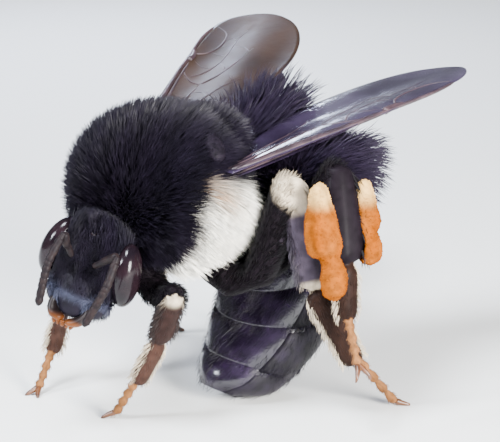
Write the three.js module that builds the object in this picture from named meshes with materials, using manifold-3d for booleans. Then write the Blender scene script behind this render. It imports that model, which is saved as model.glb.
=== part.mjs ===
// A queen bumblebee at life size, as a museum model: millimetres, +Z up, head towards -Y, her left side
// towards +X. Her head is bent down and turned to her left. Her left wings lie folded back over the abdomen
// and her right wings are half spread. The abdomen arches up behind the thorax and curls down and forward
// until its end rests on the floor. The solids reach to the tips of her coat. The origin is on the flat on
// which the abdomen's end rests.
import * as THREE from "three";
import { mergeVertices } from "three/addons/utils/BufferGeometryUtils.js";
import Module from "manifold-3d";

const wasm = await Module();
wasm.setup();

const V = (x, y, z) => new THREE.Vector3(x, y, z);
const degrees = THREE.MathUtils.degToRad;

// ---- Driving sizes, in millimetres --------------------------------------------------------------

const GAP = 0.3; // clear space round the wings, legs and head
const SOCKET_GAP = 0.2; // clear space round what is let into the head
const END_ROUNDING = 0.7; // how far the round end of a limb reaches, as a share of its radius
const JOINT_GAP = 0.12; // clear space between two lengths of a leg or feeler
const LOAD_GAP = 0.16; // clear space between the pollen and the leg
const STANDING_HEIGHT = 10.5; // middle of the thorax above the floor
// Where the abdomen's end rests, seen from the middle of the thorax.
const REST = V(0.8, 4.7, -STANDING_HEIGHT);

const THORAX_HALF = V(4.2, 4.5, 4.2); // half its width, length and height, with the coat
const THORAX_FULLNESS = 2.15; // 2 is an ellipsoid, more is squarer

const HEAD_HALF = V(2.26, 1.5, 2.35); // half its width, thickness and height
const HEAD_CENTRE = V(0.95, -4.05, -2.8);
const HEAD_YAW = degrees(36); // turned to her left
const HEAD_PITCH = degrees(-6); // the mouth a little forward
const HEAD_ROLL = degrees(17); // the mouth a little to her right
const FACE_NARROWING = 0.27; // how much narrower the head is at the mouth

const EYE_HALF = V(0.62, 0.8, 1.5);
const EYE_CENTRE = V(1.83, -0.32, 0.25); // on the head, her left eye
const EYE_LEAN = degrees(9); // the eyes lean together at the top

const TEGULA_HALF = V(0.9, 0.55, 0.4);
const TEGULA_CENTRE = V(3.05, 1.1, 2.45); // her left one

const SCAPE_RADIUS = 0.26;
const MANDIBLE_RADIUS = 0.36;

const WING_THICKNESS = 0.5;
const FOREWING = { length: 15.2, chord: 5.3 };
const HINDWING = { length: 10.6, chord: 3.7 };

const HIP_RADIUS = 0.62;
const TARSUS_RADIUS = 0.3;
const CLAW_LENGTH = 0.75;
const CLAW_RADII = [0.25, 0.17];

// ---- Shapes -------------------------------------------------------------------------------------

// A manifold solid from a closed geometry.
function solidOf(geometry) {
  const bare = new THREE.BufferGeometry();
  bare.setAttribute("position", geometry.getAttribute("position"));
  bare.setIndex(geometry.index);
  const merged = mergeVertices(bare, 1e-4);
  return new wasm.Manifold(
    new wasm.Mesh({
      numProp: 3,
      vertProperties: merged.attributes.position.array,
      triVerts: new Uint32Array(merged.index.array),
    }),
  );
}

// The geometry of a manifold solid, ready for a mesh.
function geometryOf(solid) {
  const cut = solid.getMesh();
  const geometry = new THREE.BufferGeometry();
  geometry.setAttribute("position", new THREE.BufferAttribute(cut.vertProperties, cut.numProp));
  geometry.setIndex(new THREE.BufferAttribute(cut.triVerts, 1));
  geometry.computeVertexNormals();
  return geometry;
}

// A closed surface through elliptic rings, pointed or rounded off at the two ends.
function loft(rings, ends, sides) {
  const corners = [];
  const faces = [];
  for (const { centre, across, up } of rings) {
    for (let s = 0; s < sides; s++) {
      const turn = (2 * Math.PI * s) / sides;
      const corner = centre.clone().addScaledVector(across, Math.cos(turn));
      corner.addScaledVector(up, Math.sin(turn));
      corners.push(...corner.toArray());
    }
  }
  corners.push(...ends[0].toArray(), ...ends[1].toArray());
  const startPole = rings.length * sides;
  const lastRing = startPole - sides;
  for (let s = 0; s < sides; s++) {
    const next = (s + 1) % sides;
    for (let ring = 0; ring < lastRing; ring += sides) {
      faces.push(ring + s, ring + next, ring + sides + s);
      faces.push(ring + next, ring + sides + next, ring + sides + s);
    }
    faces.push(startPole, next, s, startPole + 1, lastRing + s, lastRing + next);
  }
  const geometry = new THREE.BufferGeometry();
  geometry.setAttribute("position", new THREE.BufferAttribute(new Float32Array(corners), 3));
  geometry.setIndex(faces);
  return geometry;
}

// A limb: a tapering, round-ended solid along a smooth line. Its radii are spread evenly along it. flat is
// its thickness over its width, side is the way its width points, and grow makes it fatter all over.
function limb(points, radii, options = {}) {
  const { flat = 1, side = V(1, 0, 0), steps = 7, grow = 0, sides = grow ? 6 : 8 } = options;
  const path = new THREE.CatmullRomCurve3(points, false, "centripetal");
  const length = path.getLength();
  const last = radii.length - 1;
  const rounding = (distance, radius) =>
    Math.sqrt(1 - Math.max(0, 1 - distance / (radius * END_ROUNDING)) ** 2);
  const rings = [];
  for (let i = 1; i < steps; i++) {
    const t = (1 - Math.cos((Math.PI * i) / steps)) / 2;
    const from = Math.min(Math.floor(t * last), last - 1);
    const radius = THREE.MathUtils.lerp(radii[from], radii[from + 1], t * last - from);
    const ends = rounding(t * length, radii[0]) * rounding((1 - t) * length, radii[last]);
    const along = path.getTangentAt(t);
    const across = side.clone().addScaledVector(along, -side.dot(along)).normalize();
    const up = along.clone().cross(across);
    const centre = path.getPointAt(t);
    across.multiplyScalar(radius * ends + grow);
    up.multiplyScalar(radius * ends * flat + grow);
    rings.push({ centre, across, up });
  }
  const ends = [
    path.getPointAt(0).addScaledVector(path.getTangentAt(0), -grow),
    path.getPointAt(1).addScaledVector(path.getTangentAt(1), grow),
  ];
  return solidOf(loft(rings, ends, sides));
}

// A rounded solid: a sphere whose points are moved by a function.
function blob(shape, around, down) {
  const geometry = new THREE.SphereGeometry(1, around, down);
  const position = geometry.getAttribute("position");
  const point = V(0, 0, 0);
  for (let i = 0; i < position.count; i++) {
    point.fromBufferAttribute(position, i);
    shape(point);
    position.setXYZ(i, point.x, point.y, point.z);
  }
  return solidOf(geometry);
}

// Pushes a point of the unit sphere out towards a box: fullness 2 leaves it round.
function squared(point, fullness) {
  const sum = [point.x, point.y, point.z].reduce((total, c) => total + Math.abs(c) ** fullness, 0);
  return point.multiplyScalar(sum ** (-1 / fullness));
}

const placed = (solid, matrix) => solid.transform(matrix.elements);

// ---- Thorax -------------------------------------------------------------------------------------

// The thorax is a deep ball, a little narrower at the collar and flatter between the legs.
function thoraxSolid(grow = 0) {
  return blob(
    (p) => {
      squared(p, THORAX_FULLNESS);
      const collar = 1 - 0.1 * Math.max(0, -p.y) ** 2;
      const half = THORAX_HALF.clone().addScalar(grow);
      p.set(p.x * half.x * collar, p.y * half.y, p.z * half.z * (p.z < 0 ? 0.96 : 1));
    },
    ...(grow ? [14, 8] : [18, 11]),
  );
}

// The small dome over each wing root.
function tegulaSolid(side, grow = 0) {
  const turn = new THREE.Matrix4().makeRotationY(side * degrees(50));
  turn.setPosition(side * TEGULA_CENTRE.x, TEGULA_CENTRE.y, TEGULA_CENTRE.z);
  const half = TEGULA_HALF.clone().addScalar(grow);
  return placed(blob((p) => p.multiply(half), 9, 5), turn);
}

// ---- Head ---------------------------------------------------------------------------------------

const headFrame = new THREE.Matrix4().makeRotationZ(HEAD_YAW);
headFrame.multiply(new THREE.Matrix4().makeRotationX(HEAD_PITCH));
headFrame.multiply(new THREE.Matrix4().makeRotationY(HEAD_ROLL));
headFrame.setPosition(HEAD_CENTRE);
const onHead = (x, y, z) => V(x, y, z).applyMatrix4(headFrame);
const headSide = V(1, 0, 0).transformDirection(headFrame);

// The head is a shield: widest at the eyes, narrower to the mouth, flat behind where it meets the thorax.
function headSolid(grow = 0) {
  const solid = blob(
    (p) => {
      squared(p, 2.45);
      const width = 1 - FACE_NARROWING * THREE.MathUtils.smoothstep(-p.z, -0.1, 1.05);
      const crown = 1 - 0.1 * THREE.MathUtils.smoothstep(p.z, 0.3, 1.1);
      const half = HEAD_HALF.clone().addScalar(grow);
      const depth = p.y > 0 ? 0.8 : 1 + 0.1 * THREE.MathUtils.smoothstep(-p.z, 0, 0.7);
      p.set(p.x * half.x * width * crown, p.y * half.y * depth, p.z * half.z);
    },
    ...(grow ? [12, 8] : [16, 11]),
  );
  return placed(solid, headFrame);
}

// A compound eye: a tall bean on the side of the head.
function eyeSolid(side, grow = 0) {
  const turn = new THREE.Matrix4().makeRotationY(side * -EYE_LEAN);
  turn.setPosition(side * EYE_CENTRE.x, EYE_CENTRE.y, EYE_CENTRE.z);
  const half = EYE_HALF.clone().addScalar(grow);
  return placed(blob((p) => p.multiply(half), grow ? 8 : 11, grow ? 7 : 8), turn.premultiply(headFrame));
}

// An elbowed feeler: its scape stands out of the face, its flagellum hangs before it in a slight bow. The
// right one is drawn in closer.
function antenna(side) {
  const out = side > 0 ? 1 : 0.55;
  const socket = onHead(side * 0.55, -1.3, 0.35);
  const elbow = onHead(side * out * 1.75, -2.05, 1.5);
  const middle = onHead(side * out * 1.9, -2.6, 0.15);
  const tip = onHead(side * out * 1.5, -2.75, -1.9);
  const start = elbow.clone().lerp(middle, JOINT_GAP / elbow.distanceTo(middle) + 0.16);
  return { scape: [socket, elbow], flagellum: [start, middle, tip] };
}

const scapeSolid = (path, grow = 0) => limb(path, [0.34, SCAPE_RADIUS, SCAPE_RADIUS], { steps: 6, grow });

// The jaws close across each other under the face.
function mandibleSolid(side, grow = 0) {
  const path = [
    onHead(side * 0.85, -0.8, -1.7),
    onHead(side * 0.8, -1.12, -2.3),
    onHead(side * 0.3, -1.3, -2.72),
  ];
  return limb(path, [MANDIBLE_RADIUS, MANDIBLE_RADIUS, 0.24], { side: headSide, grow });
}

// ---- Abdomen ------------------------------------------------------------------------------------

// The abdomen's rings stand like a fan: each goes from a point on its back to a point on its belly. Each
// has back [y, z], belly [y, z], half width, the coat on the back, and how far the ring is moved to her
// left. All are seen from the middle of the thorax.
const ABDOMEN_RINGS = [
  { back: [3.6, 0.5], belly: [3.6, -2.1], half: 1.3, coat: 0.9, left: 0 },
  { back: [5.0, 1.9], belly: [4.2, -3.1], half: 3.2, coat: 2.2, left: 0 },
  { back: [7.1, 2.3], belly: [4.6, -3.7], half: 4.0, coat: 2.8, left: 0 },
  { back: [9.0, 1.4], belly: [4.7, -4.3], half: 4.0, coat: 2.1, left: 0 },
  { back: [9.8, -0.7], belly: [4.5, -5.0], half: 3.95, coat: 0.9, left: 0.05 },
  { back: [9.5, -3.6], belly: [4.1, -5.8], half: 3.65, coat: 0.7, left: 0.1 },
  { back: [8.7, -6.4], belly: [3.5, -6.7], half: 3.25, coat: 0.6, left: 0.25 },
  { back: [7.3, -8.8], belly: [2.8, -7.7], half: 2.6, coat: 0.5, left: 0.5 },
  { back: [5.2, -10.35], belly: [2.1, -8.8], half: 1.8, coat: 0.5, left: 0.75 },
  { back: [3.2, -10.3], belly: [1.7, -9.6], half: 0.9, coat: 0.35, left: 0.95 },
];
const SIDE_COAT = 0.35; // of the coat on the back
const BELLY_COAT = 0.25; // of the coat on the back
const BAND_STEP = 0.06; // a band is this much narrower where it slips under the one in front
const BAND_INSET = 0.075; // half the space between two bands, counted along the rings
const BAND_SIDES = 16;
// Where each of the six lengths starts and ends, counted along the rings.
const BANDS = [0, 1.6, 3.1, 4.6, 6.1, 7.5, 9];

const ringCurve = (pick) =>
  new THREE.CatmullRomCurve3(ABDOMEN_RINGS.map(pick), false, "catmullrom", 0.5);
const backCurve = ringCurve((r) => V(r.left, ...r.back));
const bellyCurve = ringCurve((r) => V(r.left, ...r.belly));
const sizeCurve = ringCurve((r) => V(r.half, r.coat, 0));

// The ring at a place along the abdomen, from 0 to 9, out to the tips of the coat.
function abdomenRing(place, scale = 1) {
  const t = place / (ABDOMEN_RINGS.length - 1);
  const back = backCurve.getPoint(t);
  const belly = bellyCurve.getPoint(t);
  const size = sizeCurve.getPoint(t);
  const height = back.distanceTo(belly);
  const outward = back.clone().sub(belly).normalize();
  const centre = back.clone().add(belly).multiplyScalar(0.5);
  centre.addScaledVector(outward, (size.y * (1 - BELLY_COAT)) / 2);
  return {
    centre,
    across: V(-scale * (size.x + size.y * SIDE_COAT), 0, 0),
    up: outward.multiplyScalar((scale * (height + size.y * (1 + BELLY_COAT))) / 2),
  };
}

// One length of the abdomen between two places, narrowest where it slips under the one in front.
function abdomenBand(from, to, steps = 4) {
  const rings = Array.from({ length: steps + 1 }, (_, i) => {
    const place = THREE.MathUtils.lerp(from + BAND_INSET, to - BAND_INSET, i / steps);
    return abdomenRing(place, 1 - BAND_STEP * (1 - i / steps) ** 2);
  });
  return solidOf(loft(rings, [rings[0].centre, rings[steps].centre], BAND_SIDES));
}

// ---- Wings --------------------------------------------------------------------------------------

// The outline of a wing in its own plane: the root at the origin, the tip along +X, the hind edge towards
// +Y.
function wingOutline({ length, chord }, grow = 0) {
  const l = length + grow;
  const c = chord + grow;
  const outline = new THREE.Shape();
  outline.moveTo(-grow, -0.35 - grow);
  outline.bezierCurveTo(l * 0.3, -0.55 - grow, l * 0.72, -0.75 - grow, l * 0.88, -0.3 - grow);
  outline.bezierCurveTo(l * 0.98, 0.1 - grow, l * 1.02, c * 0.34, l * 0.95, c * 0.58);
  outline.bezierCurveTo(l * 0.88, c * 0.84, l * 0.68, c * 0.95, l * 0.52, c * 0.86);
  outline.bezierCurveTo(l * 0.32, c * 0.76, l * 0.14, c * 0.46, -grow, 0.55 + grow);
  outline.closePath();
  return outline;
}

// A wing plate on its root, with the way to its tip and the way to its hind edge. above clears the space
// over it.
function wingSolid({ size, root, span, hind }, grow = 0, above = 0) {
  const plate = new THREE.ExtrudeGeometry(wingOutline(size, grow), {
    depth: WING_THICKNESS + 2 * grow + above,
    bevelEnabled: false,
    curveSegments: grow ? 4 : 6,
  });
  plate.translate(0, 0, -WING_THICKNESS / 2 - grow);
  const along = span.clone().normalize();
  const back = hind.clone().addScaledVector(along, -hind.dot(along)).normalize();
  const frame = new THREE.Matrix4().makeBasis(along, back, along.clone().cross(back)).setPosition(root);
  return solidOf(plate.applyMatrix4(frame));
}

const WINGS = {
  forewing_left: {
    size: FOREWING,
    root: V(3.75, 1.3, 1.3),
    span: V(-1.1, 13.9, 2.55),
    hind: V(-1, 0, -0.1),
  },
  hindwing_left: {
    size: HINDWING,
    root: V(3.1, 1.3, 0.55),
    span: V(-2.1, 13.7, 2.4),
    hind: V(-1, 0, -0.1),
  },
  forewing_right: {
    size: FOREWING,
    root: V(-3.7, 1.2, 1.4),
    span: V(-9.6, 10.7, 2.8),
    hind: V(0.8, 0.6, 0),
  },
  hindwing_right: {
    size: HINDWING,
    root: V(-3.05, 1.3, 0.6),
    span: V(-7.9, 12.1, 2.8),
    hind: V(0.8, 0.6, 0),
  },
};

// ---- Legs ---------------------------------------------------------------------------------------

// Each leg goes through its joints: hip, trochanter, knee, ankle, the end of the basitarsus, and the foot.
// All are seen from the middle of the thorax. flat is the tibia's thickness over its width.
const FLOOR = -STANDING_HEIGHT + 0.06;
const LEGS = {
  foreleg_left: {
    joints: [
      V(0.9, -1.85, -3.0), V(2.3, -1.4, -4.4), V(4.5, -1.9, -3.7),
      V(2.9, -1.8, -6.3), V(1.75, -2.35, -8.6), V(0.6, -2.8, FLOOR),
    ],
    femur: [0.5, 0.56, 0.42],
    tibia: [0.36, 0.44, 0.46],
    basitarsus: [0.34, 0.3],
    flat: 0.8,
  },
  foreleg_right: {
    joints: [
      V(-0.9, -1.85, -3.0), V(-1.9, -2.0, -4.3), V(-4.5, -2.4, -4.4),
      V(-4.9, -2.6, -7.2), V(-4.8, -3.2, -8.9), V(-4.3, -4.2, FLOOR),
    ],
    femur: [0.5, 0.56, 0.42],
    tibia: [0.36, 0.44, 0.46],
    basitarsus: [0.34, 0.3],
    flat: 0.8,
  },
  middleleg_left: {
    joints: [
      V(1.45, 1.1, -3.1), V(3.3, 2.5, -4.35), V(4.5, 4.15, 0.85),
      V(5.75, 4.7, -4.25), V(6.0, 6.8, -8.1), V(5.95, 9.1, FLOOR),
    ],
    femur: [0.52, 0.6, 0.46],
    tibia: [0.46, 0.62, 0.66],
    basitarsus: [0.56, 0.48],
    flat: 0.62,
  },
  middleleg_right: {
    joints: [
      V(-1.4, 1.0, -3.1), V(-2.8, 1.2, -4.1), V(-6.0, 2.6, -1.2),
      V(-7.4, 3.6, -5.4), V(-7.9, 4.6, -8.4), V(-8.8, 5.8, FLOOR),
    ],
    femur: [0.52, 0.6, 0.46],
    tibia: [0.42, 0.52, 0.56],
    basitarsus: [0.48, 0.4],
    flat: 0.62,
  },
  hindleg_left: {
    joints: [
      V(1.5, 2.8, -2.8), V(2.8, 4.2, -3.7), V(5.7, 5.95, 1.4),
      V(7.15, 5.38, -2.8), V(7.5, 5.26, -5.4), V(8.35, 5.3, -7.1),
    ],
    femur: [0.5, 0.56, 0.5],
    tibia: [0.5, 0.8, 0.9],
    basitarsus: [0.52, 0.4],
    flat: 0.5,
    hangs: true,
  },
  hindleg_right: {
    joints: [
      V(-1.5, 2.8, -2.8), V(-2.9, 4.1, -3.7), V(-5.9, 6.2, 0.6),
      V(-7.2, 6.9, -4.0), V(-7.4, 7.6, -7.2), V(-7.6, 8.9, FLOOR),
    ],
    femur: [0.5, 0.56, 0.5],
    tibia: [0.5, 0.8, 0.9],
    basitarsus: [0.52, 0.42],
    flat: 0.5,
  },
};
const TARSUS_BEADS = 4;

// The point at a distance short of b, on the way from a.
const shortOf = (a, b, distance) => b.clone().lerp(a, distance / a.distanceTo(b));

// The hip, trochanter and femur are one length, bent at the trochanter.
const thighSolid = (leg, grow = 0) =>
  limb(leg.joints.slice(0, 3), [HIP_RADIUS, ...leg.femur], { steps: 9, grow });

// A straight length between two joints, with the broad side of a hind tibia facing out.
function legLength(leg, index, radii, grow = 0) {
  const [from, to] = leg.joints.slice(index, index + 2);
  return limb([from, shortOf(from, to, JOINT_GAP)], radii, { flat: leg.flat, side: V(0.3, 1, 0), grow });
}

// The floor's block, which cuts the small flats on which she stands.
const floorBlock = solidOf(new THREE.BoxGeometry(60, 60, 4).translate(0, 0, -STANDING_HEIGHT - 2));

// The last four joints of the foot and its pair of claws, cut flat where it stands.
function tarsusSolid({ joints, hangs }) {
  const [start, end] = joints.slice(4);
  const along = end.clone().sub(start).normalize();
  const beads = Array.from({ length: 2 * TARSUS_BEADS + 1 }, (_, i) => TARSUS_RADIUS * (i % 2 ? 1.08 : 0.8));
  const level = hangs ? along : V(along.x, along.y, 0).normalize();
  const aside = V(0, 0, 1).cross(level).normalize();
  const claws = [-1, 1].map((hand) => {
    const splay = level.clone().addScaledVector(aside, 0.75 * hand).normalize();
    const base = end.clone().addScaledVector(along, -TARSUS_RADIUS);
    return limb([base, end.clone().addScaledVector(splay, CLAW_LENGTH)], CLAW_RADII, { steps: 4, sides: 4 });
  });
  const joined = limb([start, end], beads, { steps: 9, sides: 6 }).add(claws[0]).add(claws[1]);
  return hangs ? joined : joined.subtract(floorBlock);
}

// A pollen load is packed on the hind tibia in two lumps before it and two behind it, the lower ones
// smaller. Each lump has where it starts and ends along the tibia, and its radius. clear is how far it is
// off the tibia's middle.
const POLLEN = {
  pollen_left_front: {
    leg: "hindleg_left",
    before: -1,
    clear: 0.42,
    lumps: [{ from: 0.12, to: 0.9, radius: 0.86 }, { from: 0.72, to: 1.3, radius: 0.58 }],
  },
  pollen_left_rear: {
    leg: "hindleg_left",
    before: 1,
    clear: 0.48,
    lumps: [{ from: 0.14, to: 0.72, radius: 0.66 }, { from: 0.56, to: 1.0, radius: 0.56 }],
  },
  pollen_right_front: {
    leg: "hindleg_right",
    before: -1,
    clear: 0.42,
    lumps: [{ from: 0.1, to: 0.72, radius: 0.8 }, { from: 0.55, to: 1.05, radius: 0.56 }],
  },
  pollen_right_rear: {
    leg: "hindleg_right",
    before: 1,
    clear: 0.22,
    lumps: [{ from: 0.06, to: 0.66, radius: 0.64 }, { from: 0.5, to: 0.96, radius: 0.54 }],
  },
};

function pollenSolid({ leg, before, clear, lumps }) {
  const { joints } = LEGS[leg];
  const outward = V(Math.sign(joints[2].x) * 0.15, before, 0).normalize();
  return lumps
    .map(({ from, to, radius }) => {
      const away = outward.clone().multiplyScalar(clear + radius);
      const ends = [from, to].map((t) => joints[2].clone().lerp(joints[3], t).add(away));
      return limb(ends, [0.55 * radius, radius, 0.9 * radius], { steps: 5, sides: 7 });
    })
    .reduce((whole, lump) => whole.add(lump));
}

// ---- Assembly -----------------------------------------------------------------------------------

const finish = (color, roughness, options = {}) =>
  new THREE.MeshStandardMaterial({ color, roughness, metalness: 0, ...options });
const MATERIALS = {
  velvet: finish(0x0e0c10, 0.9),
  shell: finish(0x1d1720, 0.35),
  eye: finish(0x1b1614, 0.25),
  feeler: finish(0x17120f, 0.5),
  leg: finish(0x241913, 0.45),
  foot: finish(0xa8632f, 0.5),
  jaw: finish(0xb0642c, 0.4),
  wing: finish(0x4d4351, 0.3, { transparent: true, opacity: 0.8 }),
  pollen: finish(0xe98b2c, 0.8),
};

const bee = new THREE.Group();
bee.position.copy(REST).negate();

function add(name, solid, material) {
  const mesh = new THREE.Mesh(geometryOf(solid), MATERIALS[material]);
  mesh.name = name;
  bee.add(mesh);
}

const SIDES = { left: 1, right: -1 };
const legNames = Object.keys(LEGS);
const thighs = legNames.map((name) => thighSolid(LEGS[name], GAP));
const wingSpaces = Object.values(WINGS).map((wing) => wingSolid(wing, GAP));
const sidesOf = (make) => Object.values(SIDES).map(make);
const cutBy = (solid, cutters) => cutters.reduce((left, cutter) => left.subtract(cutter), solid);
const biggest = (solid) => solid.decompose().sort((a, b) => b.volume() - a.volume())[0];

// The head, with the eyes, jaws and feelers let into it.
const antennae = Object.fromEntries(Object.entries(SIDES).map(([name, side]) => [name, antenna(side)]));
const headSockets = [
  ...sidesOf((side) => eyeSolid(side, SOCKET_GAP)),
  ...sidesOf((side) => mandibleSolid(side, SOCKET_GAP)),
  ...Object.values(antennae).map(({ scape }) => scapeSolid(scape, SOCKET_GAP)),
];
add("head", biggest(cutBy(headSolid(), headSockets)), "velvet");
for (const [name, side] of Object.entries(SIDES)) {
  const { scape, flagellum } = antennae[name];
  add(`eye_${name}`, eyeSolid(side), "eye");
  add(`mandible_${name}`, mandibleSolid(side), "jaw");
  add(`scape_${name}`, scapeSolid(scape), "feeler");
  add(`flagellum_${name}`, limb(flagellum, [0.25, 0.27, 0.25], { steps: 9 }), "feeler");
}

// The thorax, cut back for the head, the legs and the wings.
const thoraxCuts = [
  headSolid(GAP),
  ...sidesOf((side) => eyeSolid(side, SOCKET_GAP)),
  ...sidesOf((side) => tegulaSolid(side, GAP)),
  ...thighs,
  ...wingSpaces,
];
add("thorax", biggest(cutBy(thoraxSolid(), thoraxCuts)), "velvet");
for (const [name, side] of Object.entries(SIDES)) {
  add(`tegula_${name}`, biggest(cutBy(tegulaSolid(side), wingSpaces)), "shell");
}
for (const [name, wing] of Object.entries(WINGS)) {
  add(name, wingSolid(wing), "wing");
}

// The legs and the pollen loads.
for (const [name, leg] of Object.entries(LEGS)) {
  const kneeSpace = legLength(leg, 2, leg.tibia, JOINT_GAP);
  add(`${name}_femur`, biggest(thighSolid(leg).subtract(kneeSpace)), "leg");
  add(`${name}_tibia`, legLength(leg, 2, leg.tibia), "leg");
  add(`${name}_basitarsus`, legLength(leg, 3, leg.basitarsus), "foot");
  add(`${name}_tarsus`, tarsusSolid(leg), "foot");
}
for (const [name, load] of Object.entries(POLLEN)) {
  const tibia = legLength(LEGS[load.leg], 2, LEGS[load.leg].tibia, LOAD_GAP);
  add(name, biggest(pollenSolid(load).subtract(tibia)), "pollen");
}

// The abdomen in six lengths, pressed flat under the folded wings and standing on a small flat.
const pressed = [
  wingSolid(WINGS.forewing_left, GAP, 6),
  wingSolid(WINGS.hindwing_left, GAP, 6),
  ...wingSpaces,
];
const hindTibiae = ["hindleg_left", "hindleg_right", "middleleg_left"].map((name) =>
  legLength(LEGS[name], 2, LEGS[name].tibia, GAP),
);
const abdomenCuts = [thoraxSolid(GAP), ...thighs, ...hindTibiae, ...pressed, floorBlock];
BANDS.slice(1).forEach((to, i) => {
  const band = abdomenBand(BANDS[i], to);
  add(`abdomen_${i + 1}`, biggest(cutBy(band, abdomenCuts)), "velvet");
});

export default bee;
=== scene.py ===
# %% [markdown]
# # A queen bumblebee, hair by hair
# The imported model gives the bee's pose and outline as plain solids that reach to the tips of her coat. This
# lesson dresses it: one skin under the coat, shell plates, eyes, feelers, jaws, veined wings, jointed legs,
# pollen loads, and a coat of many small solid hairs. Every length below is in millimetres from the middle
# of her thorax, as it is easiest to think of, and metres() turns it into the frame's own metres.

# %% The frame
import math
import bmesh
import bpy
import numpy as np
from mathutils import Matrix, Vector
from mathutils.bvhtree import BVHTree


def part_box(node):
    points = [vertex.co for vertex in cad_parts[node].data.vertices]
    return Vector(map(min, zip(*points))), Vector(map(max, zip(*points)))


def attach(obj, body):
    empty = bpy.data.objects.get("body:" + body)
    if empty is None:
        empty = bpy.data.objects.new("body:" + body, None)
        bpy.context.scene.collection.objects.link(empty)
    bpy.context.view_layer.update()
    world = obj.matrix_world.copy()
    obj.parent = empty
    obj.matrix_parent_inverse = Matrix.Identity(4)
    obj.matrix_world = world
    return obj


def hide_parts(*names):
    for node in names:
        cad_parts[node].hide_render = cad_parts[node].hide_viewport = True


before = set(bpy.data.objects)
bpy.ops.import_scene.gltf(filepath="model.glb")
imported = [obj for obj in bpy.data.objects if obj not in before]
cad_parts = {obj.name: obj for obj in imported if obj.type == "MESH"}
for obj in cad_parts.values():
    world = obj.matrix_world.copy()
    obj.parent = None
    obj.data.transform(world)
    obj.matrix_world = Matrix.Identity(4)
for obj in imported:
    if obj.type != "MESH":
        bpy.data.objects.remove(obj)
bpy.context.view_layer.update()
MM = 0.001
SIDES = {"left": 1, "right": -1}


def box_mm(node):
    """The lowest and highest corner of a node of the model, in the frame's millimetres."""
    low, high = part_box(node)
    return np.array(low) / MM, np.array(high) / MM


UNDERSIDE = 0.96  # the thorax reaches down this share of what it reaches up
low, high = box_mm("thorax")
THORAX_REACH = (high[2] - low[2]) / (1 + UNDERSIDE)
MIDDLE = np.array([(low[0] + high[0]) / 2, (low[1] + high[1]) / 2, high[2] - THORAX_REACH])


def metres(points):
    """Points in millimetres from the middle of the thorax, as metres in the frame."""
    return (np.asarray(points, dtype=float) + MIDDLE) * MM


print("middle of the thorax, mm:", MIDDLE.round(2), "reach of its coat:", round(THORAX_REACH, 2))

# %% [markdown]
# ## Small helpers
# Four ways of making a surface cover the whole animal. loft() closes a row of rings with a point at each
# end. limb() bends such a row along a curve, for legs, feelers, veins and claws. rounded() swells it to an
# egg or a squarer lump. sheet() closes two grids of points, for plates and wings. Each gives bare points
# and faces, so that several can be joined before they become a mesh.

# %% Surfaces from rings
def unit(vectors):
    vectors = np.asarray(vectors, dtype=float)
    return vectors / np.maximum(np.linalg.norm(vectors, axis=-1, keepdims=True), 1e-12)


def smoothstep(x, low, high):
    """0 below low, 1 above high, and a soft rise between them."""
    t = np.clip((np.asarray(x, dtype=float) - low) / (high - low), 0, 1)
    return t * t * (3 - 2 * t)


def mixed(a, b, share):
    """Rows of values between a and b: a where the share is 0 and b where it is 1."""
    share = np.asarray(share)[:, None]
    return np.asarray(a) * (1 - share) + np.asarray(b) * share


def loft(rings, start, end):
    """A closed skin over a row of rings, with a point at each end."""
    rings = np.asarray(rings, dtype=float)
    count, sides, _ = rings.shape
    points = np.vstack([rings.reshape(-1, 3), start, end])
    faces = []
    for s in range(sides):
        n = (s + 1) % sides
        faces += [(r + s, r + n, r + sides + n, r + sides + s) for r in range(0, (count - 1) * sides, sides)]
        faces.append((count * sides, n, s))
        faces.append((count * sides + 1, (count - 1) * sides + s, (count - 1) * sides + n))
    return points, faces


def sheet(outer, inner, columns):
    """A closed sheet between two grids of points, with a wall round its rim."""
    count = len(outer)
    grid = [(k, k + 1, k + columns + 1, k + columns) for k in range(count - columns) if (k + 1) % columns]
    flipped = [tuple(corner + count for corner in face[::-1]) for face in grid]
    rim = [*range(columns), *range(2 * columns - 1, count, columns)]
    rim += [*range(count - 2, count - columns - 1, -1), *range(count - 2 * columns, 0, -columns)]
    walls = [(a, a + count, b + count, b) for a, b in zip(rim, rim[1:] + rim[:1])]
    return np.vstack([outer, inner]), grid + flipped + walls


def curve_through(points, count):
    """count points on a smooth curve through a few given ones."""
    points = np.asarray(points, dtype=float)
    ends = np.vstack([2 * points[0] - points[1], points, 2 * points[-1] - points[-2]])
    place = np.linspace(0, len(points) - 1, count)
    first = np.minimum(place.astype(int), len(points) - 2)
    t = (place - first)[:, None]
    a, b, c, d = (ends[first + k] for k in range(4))
    return 0.5 * (2 * b + (c - a) * t + (2 * a - 5 * b + 4 * c - d) * t**2 + (3 * b - a - 3 * c + d) * t**3)


def limb(points, radii, side=(1, 0, 0), flat=1.0, sides=12, steps=24, rounding=0.7):
    """A round-ended, tapering solid along a curve: radii are spread evenly along it."""
    path = curve_through(points, steps)
    along = unit(np.gradient(path, axis=0))
    across = unit(np.asarray(side) - (along @ np.asarray(side, dtype=float))[:, None] * along)
    up = np.cross(along, across)
    place = np.linspace(0, 1, steps)
    radius = np.interp(place, np.linspace(0, 1, len(radii)), radii)
    length = np.linalg.norm(np.diff(path, axis=0), axis=1).sum()
    for distance, end in ((place * length, radii[0]), ((1 - place) * length, radii[-1])):
        radius = radius * np.sqrt(1 - np.clip(1 - distance / max(end * rounding, 1e-9), 0, 1) ** 2)
    turn = np.linspace(0, 2 * math.pi, sides, endpoint=False)
    rings = path[:, None] + radius[:, None, None] * (
        np.cos(turn)[None, :, None] * across[:, None] + flat * np.sin(turn)[None, :, None] * up[:, None]
    )
    return loft(rings[1:-1], path[0], path[-1])


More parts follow.
